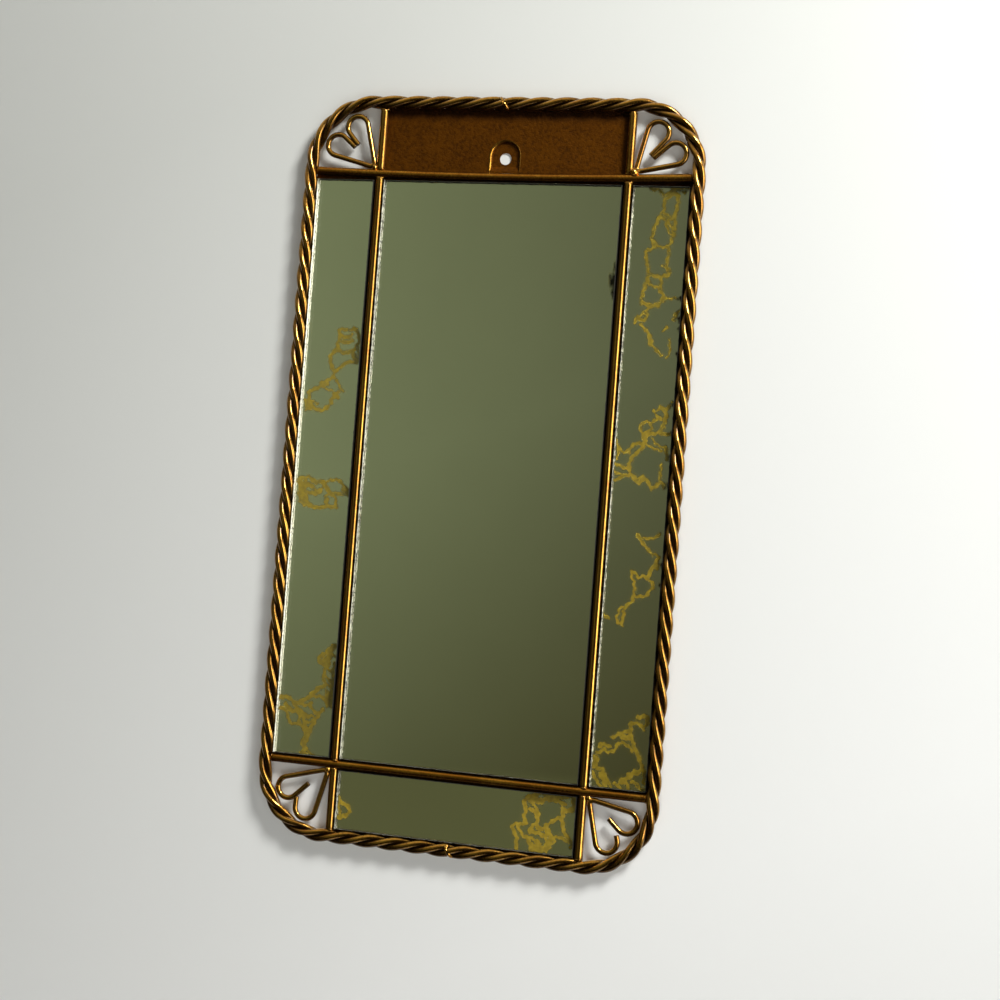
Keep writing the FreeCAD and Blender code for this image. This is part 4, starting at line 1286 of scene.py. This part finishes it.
def silver_material():
    """Silver on the back of the glass, with painted veins and dark spots where it has gone."""
    settings = bpy.context.scene.mirror_panes
    material, tree, shader, output = new_material("Aged silver")
    where = tree.where()
    loss = tree.attribute("loss")
    cloud = tree.noise(where, 260.0, 4.0, 0.6)
    _, _, height = tree.axes()
    side_tone = tree.spread(height, -0.03, -0.17, 0.0, 0.4)
    tone = tree.math("ADD", side_tone, tree.spread(height, -0.455, -0.465, 0.0, 0.42))
    tone = tree.math("ADD", tone, tree.spread(cloud, 0.4, 0.62, 0.0, 0.18))
    gold = tree.mix(tone, rgba(settings.vein_deep), rgba(settings.vein))
    haze = tree.spread(tree.noise(where, 9.0, 3.0), 0.35, 0.7)
    silver = tree.mix(haze, rgba(settings.silver), rgba([0.96 * part for part in settings.silver]))
    vein = tree.spread(tree.attribute("vein"), 0.1, 0.8)
    cover = tree.math("MULTIPLY", vein, tree.spread(cloud, 0.36, 0.6, 0.72, 0.97))
    cover = tree.math("MAXIMUM", cover, loss)
    tree.give(shader, {"Base Color": silver, "Metallic": 1.0, "Roughness": 0.0})
    paint = tree.node("BsdfPrincipled")
    bare = tree.mix(loss, gold, (0.012, 0.010, 0.006, 1))
    tree.give(paint, {"Base Color": bare, "Roughness": 0.55, "Specular IOR Level": 0.0})
    tree.blend(cover, shader, paint, output)
    return material


def mastic_material():
    """Grey-black mastic, slightly mottled."""
    material, tree, shader, _ = new_material("Mastic")
    mottle = tree.noise(tree.where(), 320.0, 4.0)
    relief = tree.node("Bump", strength=0.4, distance=0.2 * MM, height=mottle)
    tree.give(shader, {
        "Base Color": tree.mix(mottle, (0.05, 0.048, 0.045, 1), (0.11, 0.105, 0.095, 1)),
        "Roughness": tree.spread(mottle, 0.3, 0.7, 0.6, 0.85),
        "Normal": relief.outputs[0],
    })
    return material


# Operators

class MIRROR_OT_rim(Operator):
    """Twist the three wires of each half of the rim"""

    bl_idname = "mirror.rim"
    bl_label = "Rim"

    def execute(self, context):
        for side in SIDES:
            for letter in STRANDS:
                add_painted(f"{side}_twisted_wire_{letter}", rim_strand(side, letter), "Rim gilt",
                            "painted_rim", f"{side}_rim_strand_{letter}")
        return {"FINISHED"}


class MIRROR_OT_rods(Operator):
    """Lay the crossbars and the uprights between and beyond them"""

    bl_idname = "mirror.rods"
    bl_label = "Rods"

    def execute(self, context):
        rods = {"upper_crossbar": bowed_rod(), "lower_crossbar": straight_rod("lower_crossbar", 0)}
        for node in UPRIGHTS:
            rods[node] = straight_rod(node, 2)
        for node, shape in rods.items():
            paint = "Bar gilt" if node.endswith("crossbar") else "Wire gilt"
            add_painted(f"{node}_rod", shape, paint, "painted_wire", node)
        return {"FINISHED"}


class MIRROR_OT_hearts(Operator):
    """Bend the four corner hearts"""

    bl_idname = "mirror.hearts"
    bl_label = "Hearts"

    def execute(self, context):
        settings = context.scene.mirror_wires
        for side_name, side in SIDES.items():
            for level, rise in LEVELS.items():
                node = f"{level}_{side_name}_heart"
                points, along = heart_path(node, side, rise)
                shape = flat_wire(
                    points, along, settings.heart_wire / 2, settings.end_rounding, len(node), HEART_SIDES)
                add_painted(f"{node}_wire", shape, "Wire gilt", "painted_wire", node)
        return {"FINISHED"}


class MIRROR_OT_welds(Operator):
    """Put the weld beads where wires meet, and a wire end over each seam"""

    bl_idname = "mirror.welds"
    bl_label = "Welds"

    def execute(self, context):
        for number, place in enumerate(weld_places()):
            add_painted(f"weld_bead_{number + 1:02d}", bead(*place, number), "Wire gilt", "painted_wire")
        _, _, bottom, top, _, _ = rope()
        for name, height in (("top_seam_end", top), ("bottom_seam_end", bottom)):
            add_painted(name, seam_end(height), "Rim gilt", "painted_rim")
        return {"FINISHED"}


class MIRROR_OT_sheet(Operator):
    """Paint the back sheet and the mastic behind the panes"""

    bl_idname = "mirror.sheet"
    bl_label = "Back sheet"

    def execute(self, context):
        paint_node("back_sheet", gilt_material("Sheet gilt"))
        add_painted("arch_lip", arch_lip(), "Lip gilt", "painted_sheet")
        mastic = mastic_material()
        for node in MASTIC:
            paint_node(node, mastic)
        return {"FINISHED"}


class MIRROR_OT_panes(Operator):
    """Cut, silver and vein the four panes"""

    bl_idname = "mirror.panes"
    bl_label = "Panes"

    def execute(self, context):
        materials = [glass_material(), edge_material(), silver_material()]
        for name in PANES:
            verts, faces, slots, values = pane(name)
            piece = new_object(f"{name}_glass", verts, faces, *materials)
            piece.data.polygons.foreach_set("material_index", slots.astype(np.int32))
            add_piece(piece, [name], values, smooth=False)
        return {"FINISHED"}


class MIRROR_OT_stage(Operator):
    """Set the wall, floor, surround, lamps and camera"""

    bl_idname = "mirror.stage"
    bl_label = "Stage"

    def execute(self, context):
        settings = context.scene.mirror_stage
        wall_and_floor(settings)
        surround(settings)
        lamps(settings)
        camera(context.scene)
        context.scene.view_settings.view_transform = "Standard"
        return {"FINISHED"}


# Stage

def stage_piece(name, verts, faces, material):
    """Adds a piece of the stage."""
    piece = new_object(name, verts, faces, material)
    return piece


def wall_and_floor(settings):
    """A pale wall just behind the mirror, clear from behind, with painted light that makes it brighter below
    and to the right, and a pale floor below.
    """
    material, tree, shader, output = new_material("Pale wall")
    across, _, height = tree.axes()
    # Painted light: the wall's colour is brighter below and to the right.
    slant = tree.spread(tree.math("SUBTRACT", height, tree.math("MULTIPLY", across, 0.5)), 0.15, -0.6)
    tree.give(shader, {
        "Base Color": tree.mix(slant, rgba(settings.wall), rgba(settings.wall_painted_bright)),
        "Roughness": 0.9,
        "Specular IOR Level": 0.2,
    })
    clear = tree.node("BsdfTransparent")
    behind = tree.math("MAXIMUM", tree.node("NewGeometry").outputs["Backfacing"],
                       tree.node("LightPath").outputs["Is Shadow Ray"])
    tree.blend(behind, shader, clear, output)
    back = CAD_BOX[1].y + WALL_GAP
    corners = [(-4, back, FLOOR_LEVEL), (4, back, FLOOR_LEVEL), (4, back, 3), (-4, back, 3)]
    stage_piece("wall", corners, [(0, 1, 2, 3)], material)
    material, tree, shader, output = new_material("Pale floor")
    tree.give(shader, {"Base Color": rgba(settings.floor), "Roughness": 0.8})
    glow = tree.node("Emission", color=rgba(settings.floor), strength=1.0)
    tree.blend(tree.math("MULTIPLY", tree.seen(), 0.7), shader, glow, output)
    corners = [(x, y, FLOOR_LEVEL) for x, y in ((-6, -6), (6, -6), (6, 6), (-6, 6))]
    stage_piece("floor", corners, [(0, 1, 2, 3)], material)


def surround(settings):
    """A dim half ball round the front for the mirror and the metal to show, laid out on two angles.

    Its colour goes from left to right and fades all round, and it is pale again high above.
    An upright strip on the right is bright. Cameras and plain surfaces don't see it.
    """
    around, up = np.radians(np.meshgrid(
        np.linspace(-90, 90, BOWL_STEPS), np.linspace(-89.5, 89.5, BOWL_STEPS)))
    flat = np.cos(up)
    verts = np.stack([np.sin(around) * flat, -np.cos(around) * flat, np.sin(up)], axis=-1) * BOWL_RADIUS
    verts[..., 2] += bar_middle()
    rows, columns = around.shape
    index = np.arange(rows * columns).reshape(rows, columns)
    faces = grid_faces(index)
    material, tree, shader, output = new_material("Dim surround")
    material.node_tree.nodes.remove(shader)
    across, depth, height = tree.axes()
    level = tree.mix(
        tree.spread(across, -0.95, -0.05), rgba(settings.surround_left), rgba(settings.surround_right))
    level = tree.mix(tree.spread(across, -1.0, -1.5), level, rgba(settings.surround_low))
    fall = tree.math("SUBTRACT", tree.math("MULTIPLY", across, 0.4), height)
    colour = tree.mix(tree.spread(fall, -0.13, 1.0), level, rgba(settings.surround_low))
    foot = tree.math("MULTIPLY", tree.spread(height, -0.685, -0.72), tree.spread(across, -1.1, -0.85))
    colour = tree.mix(foot, colour, rgba(settings.surround_foot))
    dark = tree.math("MAXIMUM", tree.spread(height, -0.84, -1.2), tree.spread(across, 0.0, 0.4))
    colour = tree.mix(dark, colour, (0.008, 0.005, 0.002, 1))
    colour = tree.mix(tree.spread(height, 0.45, 1.4), colour, rgba(settings.surround_high))
    turn = tree.math("ARCTAN2", across, tree.math("MULTIPLY", depth, -1.0))
    tall = tree.math("ABSOLUTE", tree.math("ADD", height, 0.2))
    beside = tree.math("MULTIPLY", tree.spread(turn, 0.75, 0.9), tree.spread(tall, 1.3, 0.9))
    colour = tree.mix(beside, colour, rgba(settings.surround_side))
    aside = tree.math("ABSOLUTE", tree.math("SUBTRACT", turn, STRIP_TURN))
    strip = tree.math("MULTIPLY", tree.spread(aside, 0.34, 0.22), tree.spread(tall, 0.85, 0.6))
    colour = tree.mix(strip, colour, (1.0, 0.93, 0.74, 1))
    glow = tree.node("Emission", color=colour, strength=tree.spread(strip, 0.0, 1.0, 1.0, settings.strip))
    tree.feed(output.inputs["Surface"], glow.outputs[0])
    bowl = stage_piece("surround", verts.reshape(-1, 3), faces.tolist(), material)
    bowl.visible_camera = False
    bowl.visible_diffuse = False
    bowl.visible_shadow = False


def lamp(name, place, aim, width, power):
    """A square soft lamp at a place, turned towards a point."""
    light = bpy.data.lights.new(name, "AREA")
    light.size = width
    light.energy = power
    piece = bpy.data.objects.new(name, light)
    piece.location = place
    piece.rotation_euler = (Vector(aim) - Vector(place)).to_track_quat("-Z", "Y").to_euler()
    bpy.context.scene.collection.objects.link(piece)
    return piece


def lamps(settings):
    """A main lamp high on the right, a wide one on the wall alone, one behind, and even light."""
    centre = (0, 0, bar_middle())
    lamp("key_lamp", (1.05, -0.95, 0.85), centre, 0.45, settings.key_power)
    fill = lamp("fill_lamp", (0.5, -1.5, -0.7), centre, 1.2, settings.fill_power)
    fill.visible_glossy = False
    fill.visible_transmission = False
    lit = bpy.data.collections.new("lit_by_fill")
    for name in ("wall", "floor"):
        lit.objects.link(bpy.data.objects[name])
    fill.light_linking.receiver_collection = lit
    lamp("back_lamp", (-0.5, 1.3, 0.5), centre, 0.9, settings.back_power)
    world = bpy.data.worlds.new("Even light")
    bpy.context.scene.world = world
    world.use_nodes = True
    tree = Tree(world.node_tree)
    back = world.node_tree.nodes["Background"]
    strength = tree.spread(tree.seen(), 0.0, 1.0, settings.sky, 0.95)
    tree.give(back, {"Color": (0.93, 0.93, 0.90, 1), "Strength": strength})


def camera(scene):
    """A camera in front, to the right of the mirror and a little below its top, held at a slant."""
    data = bpy.data.cameras.new("camera")
    data.lens = 64.8
    data.sensor_width = 36
    piece = bpy.data.objects.new("camera", data)
    right = Vector((0.96339, 0.25726, 0.07544))
    up = Vector((-0.06688, -0.04187, 0.99688))
    back = Vector((0.25962, -0.96543, -0.02313))
    place = Matrix.Translation((0.35866, -1.27744, -0.28267))
    piece.matrix_world = place @ Matrix((right, up, back)).transposed().to_4x4()
    scene.collection.objects.link(piece)
    scene.camera = piece


class MIRROR_PT_panel(Panel):
    """Lists the mirror's settings and the steps that build it"""

    bl_label = "Framed mirror"
    bl_idname = "MIRROR_PT_panel"
    bl_space_type = "VIEW_3D"
    bl_region_type = "UI"
    bl_category = "Mirror"

    def draw(self, context):
        for name, settings in GROUPS.items():
            box = self.layout.box()
            box.label(text=settings.__doc__)
            group = getattr(context.scene, name)
            for key in settings.__annotations__:
                box.prop(group, key)
        for operator in OPERATORS:
            self.layout.operator(operator.bl_idname)


GROUPS = {
    "mirror_rim": RimSettings,
    "mirror_wires": WireSettings,
    "mirror_finish": FinishSettings,
    "mirror_sheet": SheetSettings,
    "mirror_panes": PaneSettings,
    "mirror_stage": StageSettings,
}
OPERATORS = (
    MIRROR_OT_rim,
    MIRROR_OT_rods,
    MIRROR_OT_hearts,
    MIRROR_OT_welds,
    MIRROR_OT_sheet,
    MIRROR_OT_panes,
    MIRROR_OT_stage,
)


def register():
    for settings in GROUPS.values():
        bpy.utils.register_class(settings)
    for name, settings in GROUPS.items():
        setattr(bpy.types.Scene, name, PointerProperty(type=settings))
    for piece in OPERATORS:
        bpy.utils.register_class(piece)
    bpy.utils.register_class(MIRROR_PT_panel)


def unregister():
    bpy.utils.unregister_class(MIRROR_PT_panel)
    for piece in reversed(OPERATORS):
        bpy.utils.unregister_class(piece)
    for name, settings in GROUPS.items():
        delattr(bpy.types.Scene, name)
        bpy.utils.unregister_class(settings)


def main():
    register()
    for name in ("rim", "rods", "hearts", "welds", "sheet", "panes", "stage"):
        getattr(bpy.ops.mirror, name)()


if __name__ == "__main__":
    main()
